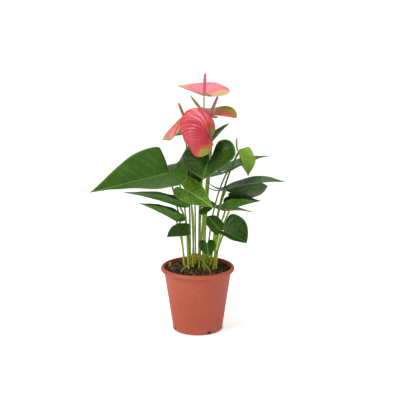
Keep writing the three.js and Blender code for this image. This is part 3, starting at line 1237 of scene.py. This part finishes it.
@dataclass(frozen=True)
class Stalk:
    """A stalk that grows from the peat up to a notch or a free end.

    Attributes:
        root: where it leaves the peat, seen from above.
        at: its top.
        arrive: direction it has at the top.
        radius: its radius half way up.
        bow: how strongly it keeps its direction at both ends.
        knee: swelling just under the top, as a share of the radius.
        tint: how pale it is, 0 to 1.
    """

    root: Pair
    at: Triple
    arrive: Triple
    radius: float
    bow: float = 0.35
    knee: float = 0.3
    tint: float = 0.0

    FOOT = 90.0
    ROWS = 56
    SIDES = 14
    THICK, TAPER = 1.12, 0.2
    SHEATH, SHEATH_LENGTH = 0.35, 9.0
    KNEE_AT, KNEE_LENGTH = 7.0, 4.0
    GROOVE, GROOVE_WIDTH = 0.1, 0.6
    POLE_RADIUS = 0.05

    def line(self, t: Array) -> Array:
        """The stalk's line: a cubic curve that starts nearly upright and ends along `arrive`.

        Args:
            t: 0 at the foot to 1 at the top.

        Returns:
            (n, 3) places.
        """
        foot, top = np.array([*self.root, self.FOOT]), np.array(self.at)
        reach = np.linalg.norm(top - foot) * self.bow
        leave = unit((top - foot) * (0.25, 0.25, 1.0))
        before = top - unit(np.array(self.arrive)) * reach
        return cubic((foot, foot + leave * reach, before, top), t[:, None])

    def surface(self) -> Surface:
        """The stalk as a closed tube.

        The radius swells into a sheath at the foot and into a knee near the top, has a shallow
        groove on one side, and closes as a quarter circle at the top.

        Returns:
            The tube, with the marks rise and tint.
        """
        t = np.linspace(0.0, 1.0, self.ROWS)
        t = 0.6 * t + 0.4 * (0.5 - 0.5 * np.cos(math.pi * t))
        line = self.line(t)
        ahead = unit(np.gradient(line, axis=0))
        reference = np.linalg.svd(ahead, full_matrices=False)[2][-1]
        side = unit(np.cross(ahead, reference))
        run = distances(line)
        left = run[-1] - run
        sheath = self.SHEATH * np.exp(-run / self.SHEATH_LENGTH)
        knee = np.exp(-(((left - self.KNEE_AT) / self.KNEE_LENGTH) ** 2))
        radius = self.radius * (self.THICK - self.TAPER * t + sheath)
        radius = radius * (1.0 + self.knee * knee)
        cap = np.sqrt(1.0 - (1.0 - np.clip(left / self.radius, 0.0, 1.0)) ** 2)
        radius = np.maximum(radius * cap, self.POLE_RADIUS)
        beside = (turns(self.SIDES) - math.pi) / self.GROOVE_WIDTH
        groove = 1.0 - self.GROOVE * np.exp(-(beside**2))
        shape = np.ones((self.ROWS, self.SIDES))
        marks = {"rise": t[:, None] * shape, "tint": self.tint * shape}
        return tube(line, side, np.cross(ahead, side), radius[:, None] * groove, marks)


@dataclass(frozen=True)
class Leaf:
    """A leaf: a blade on its petiole.

    Attributes:
        name: the middle of its CAD nodes' names.
        blade: its blade.
        root: where its petiole leaves the peat.
        arrive: direction of the petiole where it meets the blade.
        tone: its kind.
        bow: how strongly the petiole keeps its direction at both ends.
    """

    name: str
    blade: Blade
    root: Pair
    arrive: Triple
    tone: Tone = Tone.GREEN
    bow: float = 0.35

    RADIUS = 1.5

    def build(self, blades: dict[Tone, Material], stalks: dict[Tone, Material]) -> None:
        """Makes the blade and the petiole.

        Args:
            blades: blade material of each kind of leaf.
            stalks: petiole material of each kind of leaf.
        """
        node, slot = f"leaf_{self.name}", LEAF_SLOTS[self.tone]
        make_piece(
            f"{self.name}_leaf", self.blade.surface(), blades[self.tone], f"{node}_blade"
        )
        petiole = Stalk(
            self.root, self.blade.at, self.arrive, self.RADIUS, self.bow, tint=self.pale()
        )
        make_piece(
            f"{self.name}_petiole", petiole.surface(), stalks[self.tone],
            f"{node}_petiole",
        )

    def pale(self) -> float:
        """How pale the petiole is, 0 to 1: a wave of the place of its root."""
        return 0.5 + 0.5 * math.sin(1.3 * self.root[0] + 0.7 * self.root[1])


# ---------------- flowers


@dataclass(frozen=True)
class Spadix:
    """The spike of tiny flowers that stands on a spathe.

    Attributes:
        lean: its direction.
        length: its length.
        radius: its largest radius.
        finish: its finish.
    """

    lean: Triple
    length: float
    radius: float
    finish: SpadixFinish

    ROWS = 96
    SIDES = 28
    SPIRALS = 5
    WINDING = 2.2
    KNOB = 0.12

    def surface(self, at: Triple) -> Surface:
        """The spadix as a closed knobbly cone.

        The radius follows a smooth taper with a round tip. Knobs stand where two families of
        spirals cross: the product of the cosines of (spirals turn + winding height) and
        (spirals turn - winding height), each mapped to 0 to 1.

        Args:
            at: where it stands.

        Returns:
            The cone, with the marks rise and knobs.
        """
        t = np.linspace(0.0, 1.0, self.ROWS)
        taper = 0.88 + 0.4 * t - 0.7 * t * t
        tip = np.sqrt(np.clip(1.0 - smooth(0.88, 1.0, t) ** 2, 0.0, 1.0))
        radius = self.radius * np.maximum(taper * tip, 0.04)
        height = (t * self.length)[:, None]
        around, up = self.SPIRALS * turns(self.SIDES), self.WINDING * height
        knobs = (0.5 + 0.5 * np.cos(around + up)) * (0.5 + 0.5 * np.cos(around - up))
        axis = unit(np.array(self.lean))
        side = unit(np.cross(axis, (0.0, 1.0, 0.2)))
        marks = {"rise": t[:, None] + 0.0 * knobs, "knobs": knobs}
        radii = radius[:, None] * (1.0 + self.KNOB * knobs)
        return tube(np.array(at) + height * axis, side, np.cross(axis, side), radii, marks)


@dataclass(frozen=True)
class Tinting:
    """Where a spathe is green and where its colour is deep: shares from 0 to 1.

    Attributes:
        tip: green at the tip.
        base: green of the left and the right half round the notch.
        lobes: green at the back of the left and the right lobe, beside the notch.
        margin: green along the left and the right margin.
        sides: green of the outer part of the left and the right half.
        blush_and_shade: deeper colour of each half; painted shade on the front spathe's near half.
    """

    tip: float = 0.0
    base: Pair = (0.0, 0.0)
    lobes: Pair = (0.0, 0.0)
    margin: Pair = (0.0, 0.0)
    sides: Pair = (0.0, 0.0)
    blush_and_shade: Pair = (0.0, 0.0)

    def marks(self, blade: Blade, sheet: Array) -> dict[str, Array]:
        """How green and how deep in colour each point of a spathe is.

        Each green place is a smoothstep of the distance along the blade, of the distance
        beside the midrib or of the ring, and the largest of them counts. The deeper colour of
        the two halves blends across the midrib by a smoothstep, and fades to the margin by a
        cosine of the ring. On the front spathe it is painted shade: darkest on the middle of
        the near half and lighter at its margin.

        Args:
            blade: the spathe's blade.
            sheet: (n, 3) along, across and ring of the points.

        Returns:
            The marks greening and blush, from 0 to 1.
        """
        along, across, ring = sheet[:, 0] / blade.length, sheet[:, 1], sheet[:, 2]
        left = across >= 0
        beside = np.abs(across) / (blade.half_width * np.where(left, blade.uneven, 1.0))
        behind = (0.1 - along) / (0.1 + np.where(left, *blade.lobe))
        greening = np.maximum.reduce([
            self.tip * smooth(0.55, 0.95, along),
            np.where(left, *self.base) * smooth(0.45, 0.1, along),
            np.where(left, *self.lobes) * smooth(0.2, 0.8, behind) * smooth(0.9, 0.5, beside),
            np.where(left, *self.margin) * smooth(0.72, 1.0, ring),
            np.where(left, *self.sides) * smooth(0.35, 0.7, beside),
        ])
        # On the front spathe this deeper colour is painted shade over its near half, lighter toward
        # the margin.
        half = smooth(-0.12, 0.12, across / blade.half_width)
        share = self.blush_and_shade[0] * half + self.blush_and_shade[1] * (1.0 - half)
        fading = 0.6 + 0.4 * np.cos(0.5 * math.pi * ring)
        return {"greening": greening, "blush_and_shade": share * fading}


@dataclass(frozen=True)
class Flower:
    """A flower: a spathe on its peduncle with a spadix on it.

    Attributes:
        name: the middle of its CAD nodes' names.
        blade: its spathe.
        root: where its peduncle leaves the peat.
        arrive: direction of the peduncle where it meets the spathe.
        spadix: its spadix.
        finish: finish of the spathe.
        tinting: where the spathe is green or deep.
    """

    name: str
    blade: Blade
    root: Pair
    arrive: Triple
    spadix: Spadix
    finish: SpatheFinish
    tinting: Tinting

    RADIUS = 1.3
    KNEE = 0.1

    def build(self, stalk_material: Material) -> None:
        """Makes the spathe, the peduncle and the spadix.

        Args:
            stalk_material: material of the peduncle.
        """
        shell = self.blade.surface()
        shell.marks |= self.tinting.marks(self.blade, shell.marks["sheet"])
        peduncle = Stalk(self.root, self.blade.at, self.arrive, self.RADIUS, knee=self.KNEE)
        spadix = self.spadix.surface(self.blade.at)
        for part, shape, material, slot in (
            ("spathe", shell, self.finish.build(), "spathe"),
            ("peduncle", peduncle.surface(), stalk_material, "stalk"),
            ("spadix", spadix, self.spadix.finish.build(), "spadix"),
        ):
            node = f"flower_{self.name}_{part}"
            make_piece(f"{self.name}_{part}", shape, material, node)


# ---------------- pot and peat


@dataclass(frozen=True)
class Pot:
    """A tapered round nursery pot with a rolled rim and drain notches in its lower edge.

    Attributes:
        height: its height.
        rim_radius: outside radius of the rim.
        mouth_radius: inside radius of the mouth.
        base_radius: outside radius of the foot.
        wall: thickness of the wall.
        floor: height of the floor's upper face.
        rim_depth: how far the rim hangs down.
        notches: number of drain notches.
        notch_size: the box that cuts a notch, out, beside and up; half of it is below ground.
        first_notch: heading of the first notch, in degrees.
    """

    height: float = 105.0
    rim_radius: float = 60.0
    mouth_radius: float = 54.6
    base_radius: float = 40.5
    wall: float = 1.3
    floor: float = 2.0
    rim_depth: float = 7.0
    notches: int = 4
    notch_size: Triple = (9.0, 7.0, 10.0)
    first_notch: float = -63.0

    SIDES = 192
    SHARP = 40.0

    def inside(self, height: float) -> float:
        """Inside radius of the wall at a height: a straight taper.

        Args:
            height: the height.

        Returns:
            The radius.
        """
        foot = self.base_radius - self.wall
        return foot + (self.mouth_radius - foot) * height / self.height

    def surface(self) -> Surface:
        """The closed wall: its section carried round the axis.

        The section runs from the middle of the underside round the rim to the floor.

        Returns:
            The wall.
        """
        top, rim, wall, base = self.height, self.rim_radius, self.wall, self.base_radius
        under = top - self.rim_depth
        profile = rounded_profile([
            (0.02, 0.0, 0), (34.0, 0.0, 1.0), (35.0, 0.8, 0.6), (37.2, 0.8, 0.6),
            (38.0, 0.0, 0.6), (base - 0.3, 0.0, 1.0), (base + 0.2, 1.6, 1.2),
            (self.inside(30) + wall, 30.0, 4.0), (self.inside(60) + wall, 60.0, 4.0),
            (self.inside(under) + wall, under, 1.4), (rim - 1.4, under + 0.2, 1.0),
            (rim, under + 1.6, 1.4), (rim - 0.4, top - 1.6, 1.5), (rim - 2.4, top, 1.4),
            (self.mouth_radius + 0.8, top, 0.7), (self.mouth_radius, top - 1.4, 0.9),
            (self.inside(60), 60.0, 4.0), (self.inside(self.floor), self.floor, 1.5),
            (0.02, self.floor, 0),
        ])
        grid = revolved(profile, self.SIDES)
        return ring_surface(grid, np.zeros(3), np.array([0, 0, self.floor]), {})

    def cutter(self) -> bpy.types.Object:
        """One object of boxes that cut the drain notches, not a part of the plant."""
        box = (np.array(list(np.ndindex(2, 2, 2)), float) * 2 - 1) * self.notch_size / 2
        turn = np.radians(self.first_notch + 360.0 / self.notches * np.arange(self.notches))
        x, y = np.cos(turn)[:, None], np.sin(turn)[:, None]
        out, beside = box[:, 0] + self.base_radius, box[:, 1]
        places = [x * out - y * beside, y * out + x * beside, box[:, 2] + 0.0 * x]
        quads = np.array([
            [0, 1, 3, 2], [4, 6, 7, 5], [0, 4, 5, 1], [2, 3, 7, 6], [0, 2, 6, 4], [1, 5, 7, 3],
        ])
        boxes = repeated(np.stack(places, axis=-1), [quads], np.zeros(self.notches))
        return bare_mesh("notch_cutter", boxes.points, boxes.faces)

    def build(self) -> None:
        """Makes the pot, with its notches cut and its sharp edges kept."""
        piece = make_piece("nursery_pot", self.surface(), POT.build(), "pot")
        cutter = self.cutter()
        cut = piece.modifiers.new("notches", "BOOLEAN")
        cut.operation, cut.object, cut.solver = "DIFFERENCE", cutter, "EXACT"
        bpy.context.view_layer.update()
        graph = bpy.context.evaluated_depsgraph_get()
        whole = bpy.data.meshes.new_from_object(piece.evaluated_get(graph))
        piece.modifiers.clear()
        old, piece.data = piece.data, whole
        piece.data.set_sharp_from_angle(angle=math.radians(self.SHARP))
        boxes = cutter.data
        bpy.data.objects.remove(cutter)
        for mesh in (old, boxes):
            bpy.data.meshes.remove(mesh)


@dataclass(frozen=True)
class Peat:
    """The heap of peat in the pot, with loose crumbs and fibres on it.

    Attributes:
        pot: the pot that holds it.
        level: height at the wall.
        crown: height in the middle.
        crumbs: number of loose crumbs.
        fibres: number of pale fibres.
    """

    pot: Pot
    level: float = 98.0
    crown: float = 102.0
    crumbs: int = 1300
    fibres: int = 150

    RINGS = 70
    SIDES = 200
    GAP = 0.35
    ROUGHNESS = ((1.0, 11.0, 3), (0.7, 4.5, 5), (0.45, 2.0, 8))
    CRUMB_SEED, FIBRE_SEED = 7, 11

    def height(self, x: Array, y: Array) -> Array:
        """Height of the peat's top: a low heap plus three sizes of noise.

        Args:
            x: place across.
            y: place away.

        Returns:
            The height.
        """
        share = np.hypot(x, y) / self.pot.inside(self.level)
        heap = self.level + (self.crown - self.level) * (1.0 - share**2)
        flat = np.stack([x, y, 0.0 * x], axis=-1).reshape(-1, 3)
        rough = sum(size * lattice_noise(flat, cell, seed) for size, cell, seed in self.ROUGHNESS)
        return heap + rough.reshape(np.shape(x)) * smooth(1.0, 0.96, share)

    def heap(self) -> Surface:
        """The heap as a closed body: an even taper below and the uneven top.

        Returns:
            The body, with the mark tone.
        """
        low = self.pot.floor + self.GAP
        heights = np.linspace(low, self.level - 1, 6)
        wall = [(self.pot.inside(h) - self.GAP, h) for h in heights]
        rings = (self.pot.inside(self.level) - self.GAP) * np.linspace(1.0, 0.01, self.RINGS)
        below = revolved(np.array([(0.5, low), (20.0, low), *wall]), self.SIDES)
        top = revolved(np.stack([rings, 0.0 * rings], axis=-1), self.SIDES)
        top[..., 2] = self.height(top[..., 0], top[..., 1])
        grid = np.concatenate([below, top])
        tone = 0.25 * smooth(0.1, 0.7, lattice_noise(grid.reshape(-1, 3), 6.0, 4))
        marks = {"tone": tone.reshape(grid.shape[:2])}
        return ring_surface(grid, np.array([0.0, 0.0, low]), grid[-1].mean(0), marks)

    def scattered(self, count: int, rng: np.random.Generator) -> tuple[Array, Array]:
        """Random places over the top of the heap.

        Args:
            count: number of places.
            rng: the random numbers.

        Returns:
            (count, 3) places on the heap, and (count, 3, 3) random turns.
        """
        reach = (self.pot.inside(self.level) - 2.0) * np.sqrt(rng.random(count))
        turn = rng.random(count) * CIRCLE
        x, y = reach * np.cos(turn), reach * np.sin(turn)
        frames, _ = np.linalg.qr(rng.normal(size=(count, 3, 3)))
        frames[:, :, 0] *= np.linalg.det(frames)[:, None]
        return np.stack([x, y, self.height(x, y)], axis=-1), frames

    def crumb_surface(self) -> Surface:
        """Loose crumbs: lumpy balls of random size, squash, turn and tone, half sunk.

        Returns:
            All crumbs as one surface.
        """
        rng = np.random.default_rng(self.CRUMB_SEED)
        places, frames = self.scattered(self.crumbs, rng)
        rings = revolved(np.array([(0.8, -0.6), (1.0, 0.0), (0.8, 0.6)]), 7)
        ball = ring_surface(rings, np.array([0, 0, -1.0]), np.array([0, 0, 1.0]), {})
        size = 0.6 + 2.4 * rng.random(self.crumbs) ** 3
        squash = 0.5 + rng.random((self.crumbs, 1, 3))
        lumps = 1.0 + 0.3 * rng.normal(size=(self.crumbs, len(ball.points), 1))
        local = ball.points * lumps * squash * size[:, None, None]
        points = np.einsum("nij,nkj->nki", frames, local) + places[:, None]
        tone = np.clip(rng.normal(0.0, 0.3, self.crumbs), 0.0, 0.8)
        return repeated(points, ball.faces, tone)

    def fibre_surface(self) -> Surface:
        """Pale fibres: thin bent three-sided rods that lie on the heap.

        Returns:
            All fibres as one surface.
        """
        rng = np.random.default_rng(self.FIBRE_SEED)
        places, _ = self.scattered(self.fibres, rng)
        t = np.linspace(-1.0, 1.0, 6)
        rings = revolved(np.stack([np.ones(6), t], axis=-1), 3)
        rod = ring_surface(rings, np.array([0, 0, -1.02]), np.array([0, 0, 1.02]), {})
        half = 1.5 + 4.0 * rng.random(self.fibres) ** 2
        thick = 0.2 + 0.45 * rng.random(self.fibres)
        heading = (rng.random(self.fibres) * CIRCLE)[:, None]
        bend = rng.normal(0.0, 0.25, self.fibres)
        lie = rod.points[:, 2] * half[:, None]
        over = rod.points[:, 0] * thick[:, None] + bend[:, None] * rod.points[:, 2] ** 2 * 2.0
        x = places[:, :1] + lie * np.cos(heading) - over * np.sin(heading)
        y = places[:, 1:2] + lie * np.sin(heading) + over * np.cos(heading)
        keep = np.maximum(np.hypot(x, y) / (self.pot.inside(self.level) - 1.0), 1.0)
        x, y = x / keep, y / keep
        z = self.height(x, y) + 0.35 + rod.points[:, 1] * thick[:, None]
        tone = np.clip(rng.normal(0.7, 0.25, self.fibres), 0.2, 1.0)
        faces = [f[:, ::-1] for f in rod.faces]
        return repeated(np.stack([x, y, z], axis=-1), faces, tone)

    def build(self) -> None:
        """Makes the heap, and the crumbs and fibres on it."""
        material = PEAT.build()
        make_piece("peat_heap", self.heap(), material, "soil")
        loose = self.crumb_surface().joined(self.fibre_surface())
        make_piece("peat_crumbs", loose, material)


# ---------------- the plant


LEAVES = [
    Leaf("left_large", Blade(
        (-48, -14, 260), 199, -10.5, -38, 127, 50, lobe=(0.32, 0.08), fold=(29, 16), droop=0,
        opening=(15, 0), curl=(-10, 0), lift=(118, -100), ruffle=0.8, quilt=0.25, tint=0.5,
        seed=1,
    ), (-22, 18), (-0.35, -1.1, 1)),
    Leaf("left_middle", Blade(
        (-28, -22, 208), 178, 20, 0, 94, 32, lobe=(0.15, 0.15), fold=(30, 15), droop=12,
        lift=(15, 40), seed=2,
    ), (-15, -4), (-0.5, -0.8, 1)),
    Leaf("left_lower", Blade(
        (-34, -10, 182), 185, 32, 0, 68, 24, lobe=(0.15, 0.15), fold=(40, 30), lift=(30, 30),
        seed=3,
    ), (-21, 6), (-0.3, -0.3, 1)),
    Leaf("centre_back", Blade(
        (-11, 0, 266), 265, -66, 0, 46, 24, lobe=(0.25, 0.25), tint=0.2, seed=4,
    ), (-6, 4), (0, -0.3, 1)),
    Leaf("centre_pale", Blade(
        (-18, -36, 238), 345, -28, 45, 52, 22, lift=(30, 30), seed=5,
    ), (-8, -3), (-0.45, -0.7, 1), Tone.YOUNG),
    Leaf("centre_small", Blade(
        (9, -22, 207), 335, 20, 60, 24, 14, tint=0.8, seed=6,
    ), (2, -6), (0, -0.3, 1)),
    Leaf("centre_low", Blade(
        (34, -24, 172), 165, 48, -60, 28, 12, lobe=(0.2, 0.2), point=0.6, belly=0.4, tint=0.2,
        seed=7,
    ), (18, -1), (0.3, -0.3, 1)),
    Leaf("front_top", Blade(
        (18, -20, 281), 253, -22, 12, 46, 45, lobe=(0.7, 0.7), belly=0.15, notch=0.06,
        fold=(5, 18), droop=20, lift=(80, 80), ruffle=0.8, quilt=0.25, seed=8,
    ), (8, -3), (0.1, -0.3, 1)),
    Leaf("back_top", Blade(
        (23, 32, 304), 20, 48, 0, 44, 14, fold=(30, 30), seed=9,
    ), (12, 26), (0.2, 0.2, 1)),
    Leaf("young", Blade(
        (66, 16, 290), 316, -62, -60, 44, 21, lobe=(0.6, 0.05), belly=0.4, fold=(12, 60),
        droop=0, lift=(30, 0), tint=0.7, ruffle=1.2, seed=10,
    ), (21, 12), (0.45, -0.45, 1), Tone.YOUNG),
    Leaf("back_right", Blade(
        (51, 42, 257), 18, 24, 5, 78, 15, lobe=(0.25, 0.25), fold=(25, 5), droop=20, tint=0.3,
        seed=11,
    ), (15, 27), (0.5, -0.3, 1)),
    Leaf("right_large", Blade(
        (45, -8, 233), 0, 18, 0, 98, 34, fold=(-4, 10), opening=(40, 0), droop=22,
        lift=(70, 50), seed=12,
    ), (27, 3), (0.4, -0.2, 1)),
    Leaf("right_middle", Blade(
        (56, 26, 222), 10, 12, 20, 62, 26, lobe=(0.15, 0.15), point=0.5, belly=0.4,
        fold=(5, 5), curl=(-20, -20), tint=0.1, seed=13,
    ), (26, 16), (0.4, 0.1, 1)),
    Leaf("right_cupped", Blade(
        (52, -12, 202), 350, 22, 0, 52, 22, lobe=(0.15, 0.15), fold=(45, 35), curl=(60, 30),
        seed=14,
    ), (29, -6), (0.5, -0.1, 1)),
    Leaf("right_lower", Blade(
        (42, -32, 170), 335, -18, 60, 40, 33, lobe=(0.15, 0.15), point=0.75, belly=0.2,
        fold=(0, 70), droop=20, lift=(10, 10), seed=15,
    ), (24, -11), (0.3, -0.4, 1)),
    Leaf("left_front", Blade(
        (-15, -24, 162), 187, -2, -45, 34, 21, lobe=(0.15, 0.15), point=0.8, belly=0.25,
        fold=(60, 15), droop=5, seed=16,
    ), (-14, -12), (-0.1, -0.3, 1)),
    Leaf("front_small", Blade(
        (15, -30, 150), 280, -45, 0, 24, 14, fold=(-10, -10), seed=17,
    ), (11, -13), (0.1, -0.5, 1)),
    Leaf("back_left", Blade(
        (-36, 46, 250), 140, 0, -10, 80, 32, lobe=(0.28, 0.28), fold=(15, 15), droop=25,
        lift=(30, 30), seed=18,
    ), (-16, 22), (-0.4, 0.3, 1)),
    Leaf("back_centre", Blade(
        (6, 54, 240), 95, 5, 0, 84, 36, lobe=(0.28, 0.28), fold=(12, 12), droop=30,
        lift=(30, 30), seed=19,
    ), (2, 32), (0.1, 0.4, 1)),
    Leaf("back_low", Blade(
        (46, 46, 186), 35, 0, 0, 60, 26, lobe=(0.2, 0.2), fold=(12, 12), droop=20, seed=20,
    ), (14, 34), (0.3, 0.3, 1)),
    Leaf("back_upper", Blade(
        (-20, 40, 320), 195, -15, -20, 26, 12, seed=21,
    ), (-12, 14), (-0.1, 0.4, 1), Tone.YOUNG),
    Leaf("withered", Blade(
        (2, -25, 126), 176, 20, -30, 18, 7, fold=(20, 10), droop=30, seed=22,
    ), (25, -22), (-1, 0, 0.8), Tone.WITHERED, 0.2),
]

FLOWERS = [
    Flower(
        "top",
        Blade((10, -6, 381), 140, 13, 0, 58, 40, lobe=(0.5, 0.5), point=0.02, fold=(16, 28),
              curl=(0, -10), droop=0, lift=(14, 0), thickness=0.7, ruffle=0.4, quilt=0.15,
              radiating=16, seed=31),
        (3, 18), (0, -0.3, 1),
        Spadix((0.05, -0.1, 1), 35, 2.5,
               SpadixFinish("top spadix", (222, 140, 166), (244, 106, 108), (196, 88, 110))),
        SpatheFinish(
            "top spathe", (232, 86, 114), (242, 116, 134), (226, 74, 98), (200, 64, 84),
            (232, 128, 84), (172, 154, 50), (176, 130, 60),
        ),
        Tinting(tip=0.9, lobes=(1.0, 1.0), margin=(0.9, 0.3), blush_and_shade=(0.3, 0.5)),
    ),
    Flower(
        "front",
        Blade((22, -31, 314), 186, 74, -50, 88, 24, lobe=(0.22, 0.12), point=0.05, belly=0.38,
              uneven=1.6, fold=(-20, -60), opening=(0, 165), curl=(-30, 30), droop=140,
              thickness=0.8, ruffle=0.5, quilt=0.5, radiating=9, seed=32),
        (10, 5), (0.03, -0.9, 1),
        Spadix((-0.2, -0.4, 0.9), 34, 1.8,
               SpadixFinish("front spadix", (168, 150, 74), (150, 60, 50), (120, 60, 40))),
        SpatheFinish(
            "front spathe", (234, 84, 106), (244, 112, 130), (200, 40, 54), (164, 26, 42),
            (222, 78, 44), (150, 150, 44), (206, 72, 48), 1.1, 0.65,
        ),
        # The deeper colour on the left half, which is the near half, is painted shade.
        Tinting(tip=0.5, base=(0.0, 0.85), lobes=(1.0, 1.0), margin=(0.0, 0.42),
                blush_and_shade=(0.8, 0.0)),
    ),
    Flower(
        "left",
        Blade((-22, 24, 346), 195, -39, -10, 52, 14, point=0.7, belly=0.6, fold=(-40, -20),
              droop=15, thickness=0.7, ruffle=0.4, quilt=0.15, radiating=14, seed=33),
        (-3, 20), (-0.25, 0, 1),
        Spadix((-0.4, 0, 1), 23, 2.3,
               SpadixFinish("left spadix", (178, 126, 84), (226, 118, 92), (156, 86, 58))),
        SpatheFinish(
            "left spathe", (230, 88, 96), (240, 116, 124), (212, 78, 54), (196, 66, 60),
            (206, 92, 50), (136, 156, 50), (190, 130, 70),
        ),
        Tinting(base=(0.65, 0.75), lobes=(0.6, 0.8), margin=(0.9, 1.0), blush_and_shade=(0.9, 0.7)),
    ),
    Flower(
        "right",
        Blade((20, 12, 350), 160, 15, -12, 47, 22, lobe=(0.35, 1.0), uneven=0.6,
              fold=(15, 15), droop=-60, twist=70, thickness=0.7, ruffle=0.3, quilt=0.2,
              radiating=13, seed=34),
        (11, 15), (0.03, 0, 1),
        Spadix((0.42, 0, 1), 31, 2.5,
               SpadixFinish("right spadix", (226, 158, 176), (224, 142, 134), (184, 108, 124))),
        SpatheFinish(
            "right spathe", (216, 96, 92), (224, 124, 106), (204, 82, 78), (150, 44, 50),
            (200, 118, 66), (146, 152, 40), (150, 154, 48), 0.8, 0.6,
        ),
        Tinting(tip=1.0, lobes=(0.5, 0.0), margin=(0.9, 0.5), sides=(0.0, 1.0)),
    ),
]

DRY_STALK = Stalk((-31, -23), (-14, -21, 113), (1, 0.2, 0.4), 1.1, bow=0.3, knee=0)
SPROUT = Stalk((-45, 13), (-46, 14, 107), (-0.1, 0.1, 1), 1.6, knee=0, tint=1.0)


def build_plant() -> None:
    """Makes every leaf, flower and bare stalk, with shared materials."""
    blades = {tone: finish.build() for tone, finish in LEAF_FINISHES.items()}
    petiole, withered = PETIOLE.build(), WITHERED_STALK.build()
    stalks = {Tone.GREEN: petiole, Tone.YOUNG: petiole, Tone.WITHERED: withered}
    for leaf in LEAVES:
        leaf.build(blades, stalks)
    peduncle = PEDUNCLE.build()
    for flower in FLOWERS:
        flower.build(peduncle)
    make_piece(
        "withered_stalk_skin", DRY_STALK.surface(), withered, "withered_stalk"
    )
    make_piece("sprout_skin", SPROUT.surface(), petiole, "sprout")


# ---------------- studio


@dataclass(frozen=True)
class Studio:
    """A pale sweep, soft lights and the camera.

    Attributes:
        camera_at: where the camera is.
        down: how far it looks down, in degrees.
        lens: its focal length.
        world_light: brightness of the world as a light.
        world_seen: brightness of the world as the camera sees it.
        aim: what the lights point at.
    """

    camera_at: Triple = (3.8, -1200.0, 467.0)
    down: float = 11.9
    lens: float = 68.94
    world_light: float = 0.42
    world_seen: float = 1.0
    aim: Triple = (0.0, 0.0, 220.0)

    FRONT, HALF_WIDTH, TOP = -4000.0, 5000.0, 4000.0
    BEND_START, BEND_RADIUS = 1400.0, 900.0
    GLOW_START = (0.039, 0.044)
    WHITE = (1.0, 1.0, 1.0, 1.0)

    def sweep(self) -> None:
        """A floor that curves up into a backdrop: a profile carried straight across.

        It glows a little to the camera alone, so that it is white without lighting the plant.
        The glow stops at the foot of the pot, so that the drain notches stay dark.
        """
        turn = np.linspace(0.0, math.pi / 2, 24)
        start, bend = self.BEND_START, self.BEND_RADIUS
        curve = np.stack([start + bend * np.sin(turn), bend - bend * np.cos(turn)], axis=-1)
        profile = np.concatenate([[(self.FRONT, 0.0)], curve, [(start + bend, self.TOP)]])
        sides = [np.insert(profile, 0, x, axis=1) for x in (-self.HALF_WIDTH, self.HALF_WIDTH)]
        faces = grid_faces(2, len(profile), closed=False)[:, ::-1]
        floor = bare_mesh("sweep", np.concatenate(sides), [faces])
        floor.data.shade_smooth()
        wires = MaterialWiring("studio sweep")
        seen = wires.add("ShaderNodeLightPath").outputs["Is Camera Ray"]
        squares = [wires.math("MULTIPLY", v, v) for v in wires.parts(wires.place())[:2]]
        reach = wires.math("SQRT", wires.math("ADD", *squares))
        shown = wires.math("MULTIPLY", seen, wires.span(reach, *self.GLOW_START))
        glow = wires.mix(shown, (0, 0, 0), (255, 255, 255))
        floor.data.materials.append(wires.finish(
            Base_Color=linear((238, 238, 238)), Roughness=0.9,
            Emission_Color=glow, Emission_Strength=0.5,
        ))

    def light(self, name: str, at: Triple, size: float, power: float) -> None:
        """A soft square light that points at the plant.

        Args:
            name: its name.
            at: where it is.
            size: its side.
            power: its power in watts.
        """
        data = bpy.data.lights.new(name, "AREA")
        data.shape, data.size, data.energy = "SQUARE", size * MM, power
        lamp = linked(name, data)
        lamp.location = np.array(at) * MM
        look = unit(np.array(self.aim) - np.array(at))
        turn = math.atan2(look[1], look[0]) - math.pi / 2
        lamp.rotation_euler = (math.acos(-look[2]), 0.0, turn)

    def build(self) -> None:
        """Makes the sweep, the lights, the world and the camera."""
        self.sweep()
        self.light("key", (-1200, -900, 1400), 900, 21.0)
        self.light("fill", (1300, -900, 700), 1200, 4.0)
        self.light("top", (100, 300, 1500), 900, 9.0)
        scene = bpy.context.scene
        world = scene.world = bpy.data.worlds.new("studio")
        world.use_nodes = True
        wires = Wiring(world.node_tree)
        background = world.node_tree.nodes["Background"]
        seen = wires.add("ShaderNodeLightPath").outputs["Is Camera Ray"]
        levels = {"Value": seen, "To Min": self.world_light, "To Max": self.world_seen}
        strength = wires.add("ShaderNodeMapRange", levels).outputs["Result"]
        wires.feed(background.inputs["Color"], self.WHITE)
        wires.feed(background.inputs["Strength"], strength)
        scene.view_settings.view_transform = "Standard"
        data = bpy.data.cameras.new("camera")
        data.lens, data.sensor_width = self.lens, 36.0
        camera = scene.camera = linked("camera", data)
        camera.location = np.array(self.camera_at) * MM
        camera.rotation_euler = (math.radians(90.0 - self.down), 0.0, 0.0)


def main() -> None:
    """Builds the studio, the pot, the peat and the plant."""
    logging.basicConfig(level=logging.INFO, format="%(name)s: %(message)s")
    Studio().build()
    pot = Pot()
    pot.build()
    Peat(pot).build()
    build_plant()


if __name__ == "__main__":
    main()
